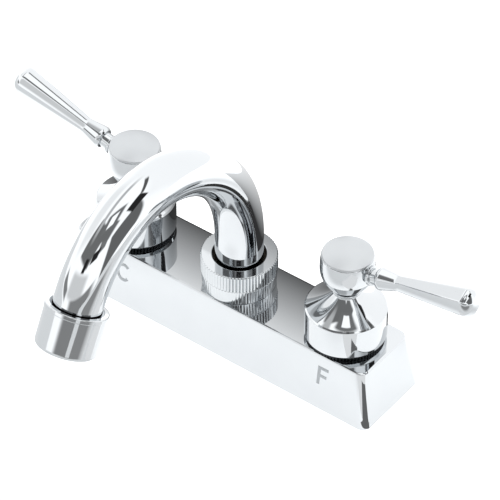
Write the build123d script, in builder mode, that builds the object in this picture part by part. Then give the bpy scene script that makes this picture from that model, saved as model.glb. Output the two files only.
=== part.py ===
"""Centerset bathroom faucet with two lever handles and a round swing spout.

X runs along the handles, the front is towards -Y and Z is up. The origin is on the deck,
at the middle of the underside. All sizes are in millimetres.
"""

from build123d import *
from math import cos, pi, radians, sin, sqrt
import os

os.makedirs("parts", exist_ok=True)

# Deck and mounting
VALVE_X = 50.8
DECK_THICKNESS = 20.0
SHANK_R = 10.45
SHANK_BORE_R = 6.0
SHANK_CHAMFER = 1.0
SUPPLY_THREAD = 16.0
RUNOUT_WIDTH = 1.5
RUNOUT_DEPTH = 0.6
WASHER_R = 19.0
WASHER_THICKNESS = 2.0
WASHER_CLEARANCE = 0.25
NUT_FLATS = 33.0
NUT_THICKNESS = 7.0

# Valve, from the stem outwards
STEM_R = 4.0
RUNNING_GAP = 0.05
CARTRIDGE_R = 9.0
CUP_WALL = 0.8
BARREL_WALL = 2.6
BARREL_SHOULDER = 1.2

# Base cover, a low truncated pyramid. Room is between the barrels and its walls, just under its top
BASE_HEIGHT = 25.0
BASE_WALL = 2.2
BASE_END_ROOM = 4.45
BASE_SIDE_ROOM = 0.2
BASE_END_LEAN = 4.0
BASE_SIDE_LEAN = 3.45
BASE_CORNER_R = 4.0
BASE_EDGE_R = 0.7
COVER_HOLE_CLEARANCE = 0.4

# Base gasket
GASKET_THICKNESS = 2.5
GASKET_SIDE_GAP = 0.4
GASKET_CORNER_R = 1.6
GASKET_HOLE_CLEARANCE = 0.15

# Waterway body. Rises and depths are from the top of the cover
BARREL_NECK_RISE = 4.0
SEAT_DEPTH = 16.0
SEAT_WEB = 2.0
INLET_R = 5.0
CROSS_GAP = 1.2
CROSS_BORE_R = 3.4
CROSS_WALL = 2.2
POST_SUMP = 1.0
POST_FLOOR = 2.6
POST_SEAT_DEPTH = 4.6
POST_RISE = 8.4
POST_WALL = 1.65
POST_LEDGE = 1.75

# Bonnet ring
RING_WALL = 2.6
RING_SETBACK = 0.8
RING_TEETH = 72
RING_TOOTH_DEPTH = 0.45
RING_FLANGE = 1.5
RING_HUB_HEIGHT = 4.5

# Bonnet
BONNET_WALL = 1.7
BONNET_HEIGHT = 14.0
BONNET_FOOT_BEVEL = 1.0
BONNET_RIM_BEVEL = 0.6
BONNET_ROOF = 1.9
CONE_HEIGHT = 6.9
CONE_HOLLOW = 1.48
NECK_GAP = 0.5
NECK_WALL = 0.6
NECK_HEIGHT = 0.9
NECK_RING_STEP = 0.7
NECK_RING_HEIGHT = 1.0

# Cartridge
HEAD_INSET = 0.6
HEAD_HEIGHT = 4.0
CARTRIDGE_NECK_WALL = 2.75
CARTRIDGE_NECK_GAP = 1.6
SEAT_GASKET_GAP = 0.1
SEAT_GASKET_STEP = 0.4
SEAT_GASKET_HEIGHT = 1.5
DISC_CLEARANCE = 0.1
DISC_THICKNESS = 3.0
WINDOW_INNER_R = 2.0
WINDOW_RIM = 1.4
WINDOW_HALF_ANGLE = 35.0
PORT_WIDTH = 5.0
PORT_HEIGHT = 3.0
CUP_ROOM = 0.5
SLOT_WIDTH = 2.6
SLOT_DEPTH = 1.2
SLOT_INSET = 1.0

# Stem
STEM_FOOT_INSET = 2.2
STEM_FOOT_GAP = 0.2
STEM_RING_RISE = 4.5
STEM_RING_WIDTH = 1.8
STEM_RING_WIRE_R = 0.7
SPLINE_START = 0.6
STEM_SOCKET = 7.4
SPLINE_TEETH = 20
SPLINE_DEPTH = 0.35

# Handle hub, cap and screw
HUB_GAP = 0.3
HUB_FOOT_WALL = 0.8
HUB_R = 10.5
HUB_WIDEST_RISE = 10.2
HUB_HEIGHT = 16.2
HUB_TOP_STEP = 0.4
CAP_SETBACK = 0.2
CAP_RIM = 0.7
CAP_CROWN = 1.1
CAP_SKIRT_R = 7.0
CAP_SKIRT_WALL = 1.4
CAP_SKIRT_DEPTH = 1.8
SCREW_R = 2.0
SCREW_HOLE_GAP = 0.2
SCREW_HOLE_SPARE = 0.5
SCREW_HEAD_R = 3.9
SCREW_HEAD_HEIGHT = 2.4
SCREW_LENGTH = 14.0
SCREW_WEB = 3.0
SCREW_SLOT = (1.0, 1.2)

# Lever. Its six-sided sections are (distance out from the ring on its neck, radius), and those of
# its star (distance out from the last section, radius)
LEVER_DROP = 7.2
LEVER_TILT = 14.0
LEVER_NECK_R = 3.1
LEVER_SEAT_DEPTH = 4.5
LEVER_RING_R = 3.9
LEVER_RING_GAP = 0.5
LEVER_RING_WIDTH = 1.4
LEVER_SECTIONS = ((3.0, 4.1), (3.9, 4.75), (12.1, 3.3), (42.6, 5.9), (45.0, 5.0), (46.4, 3.1))
LEVER_STAR = ((0.0, 2.5), (0.7, 0.4))
LEVER_ROLL_ANGLE = {"left": 31.0, "right": 55.0}
LEVER_FACET_COUNT = 6

# Spout tube
TUBE_R = 9.5
TUBE_WALL = 1.2
RISER_LENGTH = 12.0
ARC_1_R = 62.0
ARC_1_ANGLE = 72.3
ARC_2_R = 43.2
ARC_2_ANGLE = 81.2
OUTLET_STRAIGHT = 3.2

# Spout tail, its rings and the nut. The grooves are measured from the tail's foot
TAIL_CLEARANCE = 0.05
TAIL_FOOT_GAP = 0.2
TAIL_WALL = 3.7
TAIL_FLANGE_GAP = 0.4
TAIL_FLANGE_HEIGHT = 2.0
TAIL_SPIGOT = 5.0
TAIL_GROOVES = (2.8, 8.2)
TAIL_GROOVE_WIDTH = 2.4
SEAL_WIRE_R = 1.0
SEAL_GAP = 0.02
GLIDE_GAP = 0.05
GLIDE_SIDE_GAP = 0.2
GLIDE_HEIGHT = 0.55
NUT_WALL = 3.5
NUT_FOOT_HEIGHT = 6.4
NUT_FOOT_TAPER = 0.35
NUT_KNURL_STEP = 0.25
NUT_KNURL_TEETH = 70
NUT_KNURL_DEPTH = 0.45
NUT_KNURL_BEVEL = 0.5
NUT_LIP = 2.9
NUT_LIP_GAP = 0.1
NUT_LIP_SIDE_GAP = 1.0

# Aerator, measured along the outlet from the top of its rim
NIPPLE_WALL = 0.9
NIPPLE_START = 1.7
NIPPLE_LENGTH = 6.9
NIPPLE_SPIGOT = 2.8
NIPPLE_SPIGOT_WALL = 1.5
TUBE_END = 3.2
AERATOR_WALL = 1.55
AERATOR_LENGTH = 17.0
AERATOR_RIM = 1.7
AERATOR_RIM_STEP = 0.2
AERATOR_FOOT_R = 1.5
OUTLET_LEDGE = 1.6
OUTLET_LIP = 1.2
AERATOR_WASHER = 1.6
INSERT_CLEARANCE = 0.1
INSERT_PLATE = 2.2
INSERT_WALL = 1.6
INSERT_HOLE_R = 0.8
INSERT_RING_RADII = (2.6, 5.6)
INSERT_RING_COUNTS = (6, 12)

# Radii that follow
CUP_R = CARTRIDGE_R - CUP_WALL
THREAD_R = CARTRIDGE_R + BARREL_WALL
BARREL_R = THREAD_R + BARREL_SHOULDER
CROSS_R = CROSS_BORE_R + CROSS_WALL
SPOUT_BORE_R = THREAD_R - POST_WALL
RING_HUB_R = THREAD_R + RING_WALL
BONNET_R = RING_HUB_R + BONNET_WALL
RING_R = BONNET_R - RING_SETBACK
NECK_BORE_R = STEM_R + NECK_GAP
NECK_R = NECK_BORE_R + NECK_WALL
CARTRIDGE_NECK_R = STEM_R + RUNNING_GAP + CARTRIDGE_NECK_WALL
STEM_FOOT_R = CUP_R - STEM_FOOT_INSET
SLOT_LENGTH = 2 * (STEM_FOOT_R - SLOT_INSET)
HUB_TOP_R = HUB_R - HUB_TOP_STEP
CAP_R = HUB_TOP_R - CAP_SETBACK
TUBE_BORE_R = TUBE_R - TUBE_WALL
TAIL_R = SPOUT_BORE_R - TAIL_CLEARANCE
TAIL_BORE_R = TAIL_R - TAIL_WALL
NUT_KNURL_R = THREAD_R + NUT_WALL
NUT_SMOOTH_R = NUT_KNURL_R - NUT_KNURL_STEP
NUT_LIP_BORE_R = TUBE_R + NUT_LIP_SIDE_GAP
NIPPLE_R = TUBE_R + NIPPLE_WALL
NIPPLE_BORE_R = TUBE_BORE_R - NIPPLE_SPIGOT_WALL
AERATOR_R = NIPPLE_R + AERATOR_WALL
OUTLET_R = NIPPLE_R - OUTLET_LEDGE

# Heights that follow, from the deck up
SHANK_LENGTH = DECK_THICKNESS + WASHER_THICKNESS + NUT_THICKNESS + SUPPLY_THREAD
CEILING_Z = BASE_HEIGHT - BASE_WALL
CROSS_Z = CEILING_Z - CROSS_GAP - CROSS_R
POST_CHAMBER_BOTTOM = CROSS_Z - CROSS_BORE_R - POST_SUMP
POST_SEAT_Z = BASE_HEIGHT - POST_SEAT_DEPTH
POST_TOP = BASE_HEIGHT + POST_RISE
BARREL_NECK_TOP = BASE_HEIGHT + BARREL_NECK_RISE
SEAT_Z = BASE_HEIGHT - SEAT_DEPTH
FIXED_DISC_Z = SEAT_Z + SEAT_GASKET_HEIGHT
MOVING_DISC_Z = FIXED_DISC_Z + DISC_THICKNESS
FOOT_Z = MOVING_DISC_Z + DISC_THICKNESS
CUP_TOP = FOOT_Z + PORT_HEIGHT + CUP_ROOM
STEM_RING_Z = CUP_TOP + STEM_RING_RISE
RING_FLANGE_TOP = BASE_HEIGHT + RING_FLANGE
BONNET_RIM_Z = RING_FLANGE_TOP + BONNET_HEIGHT
BONNET_CEILING_Z = BONNET_RIM_Z - BONNET_ROOF
CARTRIDGE_NECK_TOP = BONNET_CEILING_Z - CARTRIDGE_NECK_GAP
CONE_TOP_Z = BONNET_RIM_Z + CONE_HEIGHT
NECK_RING_Z = CONE_TOP_Z + NECK_HEIGHT
NECK_TOP_Z = NECK_RING_Z + NECK_RING_HEIGHT
HUB_BOTTOM = NECK_TOP_Z + HUB_GAP
HUB_WIDEST_Z = HUB_BOTTOM + HUB_WIDEST_RISE
HUB_TOP = HUB_BOTTOM + HUB_HEIGHT
SPLINE_Z = HUB_BOTTOM + SPLINE_START
STEM_TOP = HUB_BOTTOM + STEM_SOCKET
SCREW_HEAD_Z = STEM_TOP + SCREW_WEB
STEM_HOLE_BOTTOM = SCREW_HEAD_Z - SCREW_LENGTH - SCREW_HOLE_SPARE
RECESS_Z = HUB_TOP - CAP_SKIRT_DEPTH
LEVER_Z = HUB_TOP - LEVER_DROP
TAIL_BOTTOM = POST_SEAT_Z + TAIL_FOOT_GAP
TAIL_FLANGE_Z = POST_TOP + GLIDE_GAP + GLIDE_HEIGHT
TUBE_BOTTOM = TAIL_FLANGE_Z + TAIL_FLANGE_HEIGHT
NUT_KNURL_BOTTOM = BASE_HEIGHT + NUT_FOOT_HEIGHT
NUT_LIP_Z = TUBE_BOTTOM + NUT_LIP_GAP
NUT_TOP = NUT_LIP_Z + NUT_LIP

# Places along the lever and the outlet that follow
LEVER_NECK_START = HUB_R - LEVER_SEAT_DEPTH
LEVER_RING_START = HUB_R + LEVER_RING_GAP
LEVER_RING_END = LEVER_RING_START + LEVER_RING_WIDTH
NIPPLE_END = NIPPLE_START + NIPPLE_LENGTH
INSERT_TOP = NIPPLE_END + AERATOR_WASHER
INSERT_BOTTOM = AERATOR_LENGTH - OUTLET_LIP

# The cover's size, from the barrels that it goes round
TOP_SHARE = BASE_WALL / BASE_HEIGHT
BASE_TOP_LENGTH = 2 * (VALVE_X + BARREL_R + BASE_END_ROOM + BASE_WALL - BASE_END_LEAN * TOP_SHARE)
BASE_TOP_WIDTH = 2 * (BARREL_R + BASE_SIDE_ROOM + BASE_WALL - BASE_SIDE_LEAN * TOP_SHARE)
BASE_LENGTH = BASE_TOP_LENGTH + 2 * BASE_END_LEAN
BASE_WIDTH = BASE_TOP_WIDTH + 2 * BASE_SIDE_LEAN

SIDES = {"left": -1, "right": 1}


def save(builder, name):
    """Label a finished piece and write its file."""
    builder.part.label = name
    export_step(builder.part, f"parts/{name}.step")


def turn(points, plane=Plane.XY, mode=Mode.ADD):
    """Revolve a closed outline of (radius, height) points about the plane's normal."""
    upright = Plane(plane.origin, x_dir=plane.x_dir, z_dir=plane.x_dir.cross(plane.z_dir))
    with BuildSketch(upright) as profile:
        with BuildLine():
            Polyline(*points, close=True)
        make_face()
    revolve(profile.sketch, axis=Axis(plane.origin, plane.z_dir), mode=mode)


def block(radius, bottom, top, bore=0.0):
    """Outline of a plain ring or disc."""
    return (bore, bottom), (radius, bottom), (radius, top), (bore, top)


def star_points(radius, depth, teeth):
    """Corner points of a toothed round, tip and root in turn."""
    step = pi / teeth
    radii = (radius, radius - depth)
    return [(radii[i % 2] * cos(i * step), radii[i % 2] * sin(i * step)) for i in range(2 * teeth)]


def valve_plane(side):
    """Plane on the deck at the foot of a handle's axis."""
    return Plane((SIDES[side] * VALVE_X, 0, 0))


def inner_size(z):
    """Length and width inside the base cover at a height."""
    share = z / BASE_HEIGHT
    length = BASE_LENGTH + (BASE_TOP_LENGTH - BASE_LENGTH) * share
    width = BASE_WIDTH + (BASE_TOP_WIDTH - BASE_WIDTH) * share
    return length - 2 * BASE_WALL, width - 2 * BASE_WALL


def make_base_cover():
    """Truncated pyramid with an open underside and three holes in its top."""
    with BuildPart() as cover:
        with BuildSketch(Plane.XY):
            RectangleRounded(BASE_LENGTH, BASE_WIDTH, BASE_CORNER_R)
        with BuildSketch(Plane.XY.offset(BASE_HEIGHT)):
            RectangleRounded(BASE_TOP_LENGTH, BASE_TOP_WIDTH, BASE_CORNER_R)
        loft(ruled=True)
        fillet(cover.faces().sort_by(Axis.Z)[-1].edges(), BASE_EDGE_R)
        with BuildSketch(Plane.XY):
            RectangleRounded(*inner_size(0), BASE_CORNER_R - BASE_WALL)
        with BuildSketch(Plane.XY.offset(CEILING_Z)):
            RectangleRounded(*inner_size(CEILING_Z), BASE_CORNER_R - BASE_WALL)
        loft(ruled=True, mode=Mode.SUBTRACT)
        with BuildSketch(Plane.XY.offset(CEILING_Z)):
            with Locations((-VALVE_X, 0), (0, 0), (VALVE_X, 0)):
                Circle(THREAD_R + COVER_HOLE_CLEARANCE)
        extrude(amount=BASE_WALL, mode=Mode.SUBTRACT)
    save(cover, "base_cover")


def make_base_gasket():
    """Flat seal between the body and the deck, with a hole for each shank."""
    length, width = inner_size(GASKET_THICKNESS)
    with BuildPart() as gasket:
        with BuildSketch(Plane.XY):
            RectangleRounded(length - 2 * GASKET_SIDE_GAP, width - 2 * GASKET_SIDE_GAP, GASKET_CORNER_R)
            with Locations((-VALVE_X, 0), (VALVE_X, 0)):
                Circle(SHANK_R + GASKET_HOLE_CLEARANCE, mode=Mode.SUBTRACT)
        extrude(amount=GASKET_THICKNESS)
    save(gasket, "base_gasket")


def barrel_outline():
    """Outside of a valve barrel and its shank, down to the shank's end."""
    nut_bottom = -DECK_THICKNESS - WASHER_THICKNESS - NUT_THICKNESS
    groove_r = SHANK_R - RUNOUT_DEPTH
    return (
        (0, -SHANK_LENGTH),
        (SHANK_R - SHANK_CHAMFER, -SHANK_LENGTH),
        (SHANK_R, -SHANK_LENGTH + SHANK_CHAMFER),
        (SHANK_R, nut_bottom - RUNOUT_WIDTH),
        (groove_r, nut_bottom - RUNOUT_WIDTH),
        (groove_r, nut_bottom),
        (SHANK_R, nut_bottom),
        (SHANK_R, GASKET_THICKNESS),
        (BARREL_R, GASKET_THICKNESS),
        (BARREL_R, CEILING_Z),
        (THREAD_R, CEILING_Z),
        (THREAD_R, BARREL_NECK_TOP),
        (0, BARREL_NECK_TOP),
    )


def barrel_bore():
    """Inside of a valve barrel: inlet, seat and cartridge chamber."""
    return (
        (0, -SHANK_LENGTH),
        (SHANK_BORE_R, -SHANK_LENGTH),
        (SHANK_BORE_R, SEAT_Z - SEAT_WEB),
        (INLET_R, SEAT_Z - SEAT_WEB),
        (INLET_R, SEAT_Z),
        (CARTRIDGE_R, SEAT_Z),
        (CARTRIDGE_R, BARREL_NECK_TOP),
        (0, BARREL_NECK_TOP),
    )


def make_waterway_body():
    """Two valve barrels on threaded shanks, joined by a cross tube to the spout post."""
    with BuildPart() as body:
        turn(block(BARREL_R, POST_CHAMBER_BOTTOM - POST_FLOOR, CEILING_Z))
        turn(block(THREAD_R, CEILING_Z, POST_TOP))
        for side in SIDES:
            turn(barrel_outline(), valve_plane(side))
        with BuildSketch(Plane.YZ):
            with Locations((0, CROSS_Z)):
                Circle(CROSS_R)
        extrude(amount=VALVE_X - CARTRIDGE_R, both=True)
        for side in SIDES:
            turn(barrel_bore(), valve_plane(side), Mode.SUBTRACT)
        with BuildSketch(Plane.YZ):
            with Locations((0, CROSS_Z)):
                Circle(CROSS_BORE_R)
        extrude(amount=VALVE_X, both=True, mode=Mode.SUBTRACT)
        chamber_r = SPOUT_BORE_R - POST_LEDGE
        turn(block(chamber_r, POST_CHAMBER_BOTTOM, POST_SEAT_Z), mode=Mode.SUBTRACT)
        turn(block(SPOUT_BORE_R, POST_SEAT_Z, POST_TOP), mode=Mode.SUBTRACT)
    save(body, "waterway_body")


def make_mounting_hardware():
    """A washer and a hexagonal nut on each shank, under the deck."""
    washer_bottom = -DECK_THICKNESS - WASHER_THICKNESS
    with BuildPart() as washers:
        with BuildSketch(Plane.XY.offset(washer_bottom)):
            with Locations((-VALVE_X, 0), (VALVE_X, 0)):
                Circle(WASHER_R)
                Circle(SHANK_R + WASHER_CLEARANCE, mode=Mode.SUBTRACT)
        extrude(amount=WASHER_THICKNESS)
    save(washers, "mounting_washers")
    with BuildPart() as nuts:
        with BuildSketch(Plane.XY.offset(washer_bottom - NUT_THICKNESS)):
            with Locations((-VALVE_X, 0), (VALVE_X, 0)):
                RegularPolygon(NUT_FLATS / 2, 6, major_radius=False)
                Circle(SHANK_R, mode=Mode.SUBTRACT)
        extrude(amount=NUT_THICKNESS)
    save(nuts, "mounting_nuts")


def make_bonnet_ring(side):
    """Thin knurled ring that holds the cover down, with a hub that carries the bonnet."""
    with BuildPart() as ring:
        with BuildSketch(valve_plane(side).offset(BASE_HEIGHT)):
            with BuildLine():
                Polyline(*star_points(RING_R, RING_TOOTH_DEPTH, RING_TEETH), close=True)
            make_face()
            Circle(THREAD_R, mode=Mode.SUBTRACT)
        extrude(amount=RING_FLANGE)
        hub_top = RING_FLANGE_TOP + RING_HUB_HEIGHT
        turn(block(RING_HUB_R, RING_FLANGE_TOP, hub_top, THREAD_R), valve_plane(side))
    save(ring, f"{side}_bonnet_ring")


def make_bonnet(side):
    """Short cylinder with a bevelled foot and a hollow-sided cone up to a ringed neck."""
    plane = valve_plane(side)
    upright = Plane(plane.origin, x_dir=(1, 0, 0), z_dir=(0, -1, 0))
    with BuildPart() as bonnet:
        with BuildSketch(upright):
            with BuildLine():
                Polyline(
                    (NECK_BORE_R, BONNET_CEILING_Z),
                    (RING_HUB_R, BONNET_CEILING_Z),
                    (RING_HUB_R, RING_FLANGE_TOP),
                    (RING_R, RING_FLANGE_TOP),
                    (BONNET_R, RING_FLANGE_TOP + BONNET_FOOT_BEVEL),
                    (BONNET_R, BONNET_RIM_Z - BONNET_RIM_BEVEL),
                    (BONNET_R - BONNET_RIM_BEVEL, BONNET_RIM_Z),
                )
                SagittaArc((BONNET_R - BONNET_RIM_BEVEL, BONNET_RIM_Z), (NECK_R, CONE_TOP_Z), CONE_HOLLOW)
                Polyline(
                    (NECK_R, CONE_TOP_Z),
                    (NECK_R, NECK_RING_Z),
                    (NECK_R + NECK_RING_STEP, NECK_RING_Z),
                    (NECK_R + NECK_RING_STEP, NECK_TOP_Z),
                    (NECK_BORE_R, NECK_TOP_Z),
                    (NECK_BORE_R, BONNET_CEILING_Z),
                )
            make_face()
        revolve(axis=Axis(plane.origin, plane.z_dir))
    save(bonnet, f"{side}_bonnet")


def make_cartridge_body(side):
    """Brass shell: an open cup for the discs, a hexagonal head and a neck round the stem."""
    plane = valve_plane(side)
    with BuildPart() as shell:
        turn(block(CARTRIDGE_R, FIXED_DISC_Z, BARREL_NECK_TOP), plane)
        with BuildSketch(plane.offset(BARREL_NECK_TOP)):
            RegularPolygon(THREAD_R - HEAD_INSET, 6)
        extrude(amount=HEAD_HEIGHT)
        turn(block(CARTRIDGE_NECK_R, BARREL_NECK_TOP + HEAD_HEIGHT, CARTRIDGE_NECK_TOP), plane)
        turn(block(CUP_R, FIXED_DISC_Z, CUP_TOP), plane, Mode.SUBTRACT)
        turn(block(STEM_R + RUNNING_GAP, CUP_TOP, CARTRIDGE_NECK_TOP), plane, Mode.SUBTRACT)
        with BuildSketch(plane.offset(FOOT_Z)):
            Rectangle(2 * BARREL_R, PORT_WIDTH)
        extrude(amount=PORT_HEIGHT, mode=Mode.SUBTRACT)
    save(shell, f"{side}_cartridge_body")


def make_seat_gasket(side):
    """Rubber ring between the seat and the cartridge."""
    outer_r = CARTRIDGE_R - SEAT_GASKET_GAP
    outline = block(outer_r, SEAT_Z, FIXED_DISC_Z, INLET_R + SEAT_GASKET_STEP)
    with BuildPart() as gasket:
        turn(outline, valve_plane(side))
    save(gasket, f"{side}_seat_gasket")


def make_disc(side, name, bottom, turned):
    """Ceramic disc with two fan windows. The moving one also has a slot for the stem's tab."""
    plane = valve_plane(side).offset(bottom)
    reach = CUP_R * cos(radians(WINDOW_HALF_ANGLE))
    half = CUP_R * sin(radians(WINDOW_HALF_ANGLE))
    with BuildPart() as disc:
        with BuildSketch(plane):
            Circle(CUP_R - DISC_CLEARANCE)
        extrude(amount=DISC_THICKNESS)
        with BuildSketch(plane) as windows:
            with Locations(Rotation(0, 0, turned)):
                Polygon((0, 0), (reach, half), (reach, -half), align=None)
                Polygon((0, 0), (-reach, -half), (-reach, half), align=None)
            Circle(CUP_R - WINDOW_RIM, mode=Mode.INTERSECT)
            Circle(WINDOW_INNER_R, mode=Mode.SUBTRACT)
        extrude(amount=DISC_THICKNESS, mode=Mode.SUBTRACT)
        if turned:
            with BuildSketch(plane.offset(DISC_THICKNESS - SLOT_DEPTH)):
                Rectangle(SLOT_LENGTH, SLOT_WIDTH)
            extrude(amount=SLOT_DEPTH, mode=Mode.SUBTRACT)
    save(disc, f"{side}_{name}")


def make_stem(side):
    """Stem with a foot and tab below, a groove for its ring and a splined top."""
    plane = valve_plane(side)
    groove_r = STEM_R - 2 * STEM_RING_WIRE_R
    low = STEM_RING_Z - STEM_RING_WIDTH / 2
    high = STEM_RING_Z + STEM_RING_WIDTH / 2
    with BuildPart() as stem:
        turn(block(STEM_FOOT_R, FOOT_Z, CUP_TOP - STEM_FOOT_GAP), plane)
        turn(block(STEM_R, CUP_TOP - STEM_FOOT_GAP, SPLINE_Z), plane)
        with BuildSketch(plane.offset(SPLINE_Z)):
            with BuildLine():
                Polyline(*star_points(STEM_R, SPLINE_DEPTH, SPLINE_TEETH), close=True)
            make_face()
        extrude(amount=STEM_TOP - SPLINE_Z)
        with BuildSketch(plane.offset(FOOT_Z)):
            Rectangle(SLOT_LENGTH - DISC_CLEARANCE, SLOT_WIDTH - DISC_CLEARANCE)
        extrude(amount=-SLOT_DEPTH)
        turn(block(STEM_R, low, high, groove_r), plane, Mode.SUBTRACT)
        turn(block(SCREW_R, STEM_HOLE_BOTTOM, STEM_TOP), plane, Mode.SUBTRACT)
    save(stem, f"{side}_cartridge_stem")


def make_stem_ring(side):
    """Rubber ring in the stem's groove."""
    plane = valve_plane(side)
    upright = Plane(plane.origin, x_dir=(1, 0, 0), z_dir=(0, -1, 0))
    with BuildPart() as ring:
        with BuildSketch(upright):
            with Locations((STEM_R - STEM_RING_WIRE_R, STEM_RING_Z)):
                Circle(STEM_RING_WIRE_R)
        revolve(axis=Axis(plane.origin, plane.z_dir))
    save(ring, f"{side}_stem_ring")


def lever_plane(side, along):
    """Plane across the lever at a distance along it. Its x points to the lever's top."""
    way = SIDES[side]
    run = cos(radians(LEVER_TILT))
    rise = sin(radians(LEVER_TILT))
    origin = (way * (VALVE_X + along * run), 0, LEVER_Z + along * rise)
    return Plane(origin, x_dir=(-way * rise, 0, run), z_dir=(way * run, 0, rise))


def make_hub(side):
    """Squat ball with a splined bore, a screw pocket, a cap recess and the lever's stepped hole."""
    plane = valve_plane(side)
    upright = Plane(plane.origin, x_dir=(1, 0, 0), z_dir=(0, -1, 0))
    foot_r = STEM_R + HUB_FOOT_WALL
    pocket_r = SCREW_HEAD_R + SCREW_HOLE_GAP
    with BuildPart() as hub:
        with BuildSketch(upright):
            with BuildLine():
                Line((0, HUB_BOTTOM), (foot_r, HUB_BOTTOM))
                TangentArc((HUB_R, HUB_WIDEST_Z), (foot_r, HUB_BOTTOM), tangent=(0, -1))
                TangentArc((HUB_R, HUB_WIDEST_Z), (HUB_TOP_R, HUB_TOP), tangent=(0, 1))
                Polyline((HUB_TOP_R, HUB_TOP), (0, HUB_TOP), (0, HUB_BOTTOM))
            make_face()
        revolve(axis=Axis(plane.origin, plane.z_dir))
        turn(block(STEM_R + RUNNING_GAP, HUB_BOTTOM, SPLINE_Z), plane, Mode.SUBTRACT)
        with BuildSketch(plane.offset(SPLINE_Z)):
            with BuildLine():
                Polyline(*star_points(STEM_R, SPLINE_DEPTH, SPLINE_TEETH), close=True)
            make_face()
        extrude(amount=STEM_TOP - SPLINE_Z, mode=Mode.SUBTRACT)
        turn(block(SCREW_R + SCREW_HOLE_GAP, STEM_TOP, SCREW_HEAD_Z), plane, Mode.SUBTRACT)
        turn(block(pocket_r, SCREW_HEAD_Z, RECESS_Z), plane, Mode.SUBTRACT)
        turn(block(CAP_SKIRT_R, RECESS_Z, HUB_TOP), plane, Mode.SUBTRACT)
        with BuildSketch(lever_plane(side, LEVER_NECK_START)):
            Circle(LEVER_NECK_R)
        extrude(amount=HUB_R, mode=Mode.SUBTRACT)
        with BuildSketch(lever_plane(side, LEVER_RING_START)):
            Circle(LEVER_RING_R)
        extrude(amount=HUB_R, mode=Mode.SUBTRACT)
    save(hub, f"{side}_handle_hub")


def make_cap(side):
    """Shallow domed disc with a crisp rim and a skirt pressed into the hub."""
    plane = valve_plane(side)
    upright = Plane(plane.origin, x_dir=(1, 0, 0), z_dir=(0, -1, 0))
    rim_z = HUB_TOP + CAP_RIM
    dome_r = (CAP_R**2 + CAP_CROWN**2) / (2 * CAP_CROWN)
    half_r = CAP_R / 2
    half_z = rim_z + CAP_CROWN - dome_r + sqrt(dome_r**2 - half_r**2)
    with BuildPart() as cap:
        with BuildSketch(upright):
            with BuildLine():
                Polyline((0, rim_z + CAP_CROWN), (0, HUB_TOP), (CAP_R, HUB_TOP), (CAP_R, rim_z))
                ThreePointArc((CAP_R, rim_z), (half_r, half_z), (0, rim_z + CAP_CROWN))
            make_face()
        revolve(axis=Axis(plane.origin, plane.z_dir))
        turn(block(CAP_SKIRT_R, RECESS_Z, HUB_TOP, CAP_SKIRT_R - CAP_SKIRT_WALL), plane)
    save(cap, f"{side}_handle_cap")


def make_screw(side):
    """Slotted screw that holds the hub on the stem."""
    plane = valve_plane(side)
    head_top = SCREW_HEAD_Z + SCREW_HEAD_HEIGHT
    slot_width, slot_depth = SCREW_SLOT
    with BuildPart() as screw:
        turn(block(SCREW_R, SCREW_HEAD_Z - SCREW_LENGTH, SCREW_HEAD_Z), plane)
        turn(block(SCREW_HEAD_R, SCREW_HEAD_Z, head_top), plane)
        with BuildSketch(plane.offset(head_top)):
            Rectangle(2 * SCREW_HEAD_R, slot_width)
        extrude(amount=-slot_depth, mode=Mode.SUBTRACT)
    save(screw, f"{side}_handle_screw")


def make_lever(side):
    """Round neck with a ring, then a six-sided bar with a waist and a starred tip."""
    roll = SIDES[side] * LEVER_ROLL_ANGLE[side]
    star_roll = roll + 180 / LEVER_FACET_COUNT
    bar_start = LEVER_RING_END + LEVER_SECTIONS[0][0]
    bar_end = LEVER_RING_END + LEVER_SECTIONS[-1][0]
    with BuildPart() as lever:
        for along, radius in LEVER_SECTIONS:
            with BuildSketch(lever_plane(side, LEVER_RING_END + along)):
                RegularPolygon(radius, LEVER_FACET_COUNT, rotation=roll)
        loft(ruled=True)
        for along, radius in LEVER_STAR:
            with BuildSketch(lever_plane(side, bar_end + along)):
                RegularPolygon(radius, LEVER_FACET_COUNT, rotation=star_roll)
        loft(ruled=True)
        with BuildSketch(lever_plane(side, LEVER_NECK_START)):
            Circle(LEVER_NECK_R)
        extrude(amount=bar_start - LEVER_NECK_START)
        with BuildSketch(lever_plane(side, LEVER_RING_START)):
            Circle(LEVER_RING_R)
        extrude(amount=LEVER_RING_WIDTH)
    save(lever, f"{side}_lever")


def spout_path():
    """Middle line of the spout tube, from its lower end to the top of the aerator's rim."""
    with BuildLine(Plane((0, 0, 0), x_dir=(0, -1, 0), z_dir=(-1, 0, 0))) as path:
        riser = Line((0, TUBE_BOTTOM), (0, TUBE_BOTTOM + RISER_LENGTH))
        bend_1 = JernArc(riser @ 1, riser % 1, ARC_1_R, -ARC_1_ANGLE)
        bend_2 = JernArc(bend_1 @ 1, bend_1 % 1, ARC_2_R, -ARC_2_ANGLE)
        Line(bend_2 @ 1, (bend_2 @ 1) + (bend_2 % 1) * OUTLET_STRAIGHT)
    return path.line


def outlet_plane(along):
    """Plane across the outlet at a distance beyond the top of the aerator's rim."""
    line = spout_path()
    lead = line % 1
    return Plane((line @ 1) + lead * along, x_dir=(1, 0, 0), z_dir=lead)


def make_spout_tube():
    """Round tube with one wall thickness from the riser to the aerator."""
    with BuildPart() as tube:
        with BuildSketch(Plane.XY.offset(TUBE_BOTTOM)):
            Circle(TUBE_R)
            Circle(TUBE_BORE_R, mode=Mode.SUBTRACT)
        sweep(path=spout_path())
        with BuildSketch(outlet_plane(0)):
            Circle(TUBE_R)
            Circle(TUBE_BORE_R, mode=Mode.SUBTRACT)
        extrude(amount=TUBE_END)
    save(tube, "spout_tube")


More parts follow.
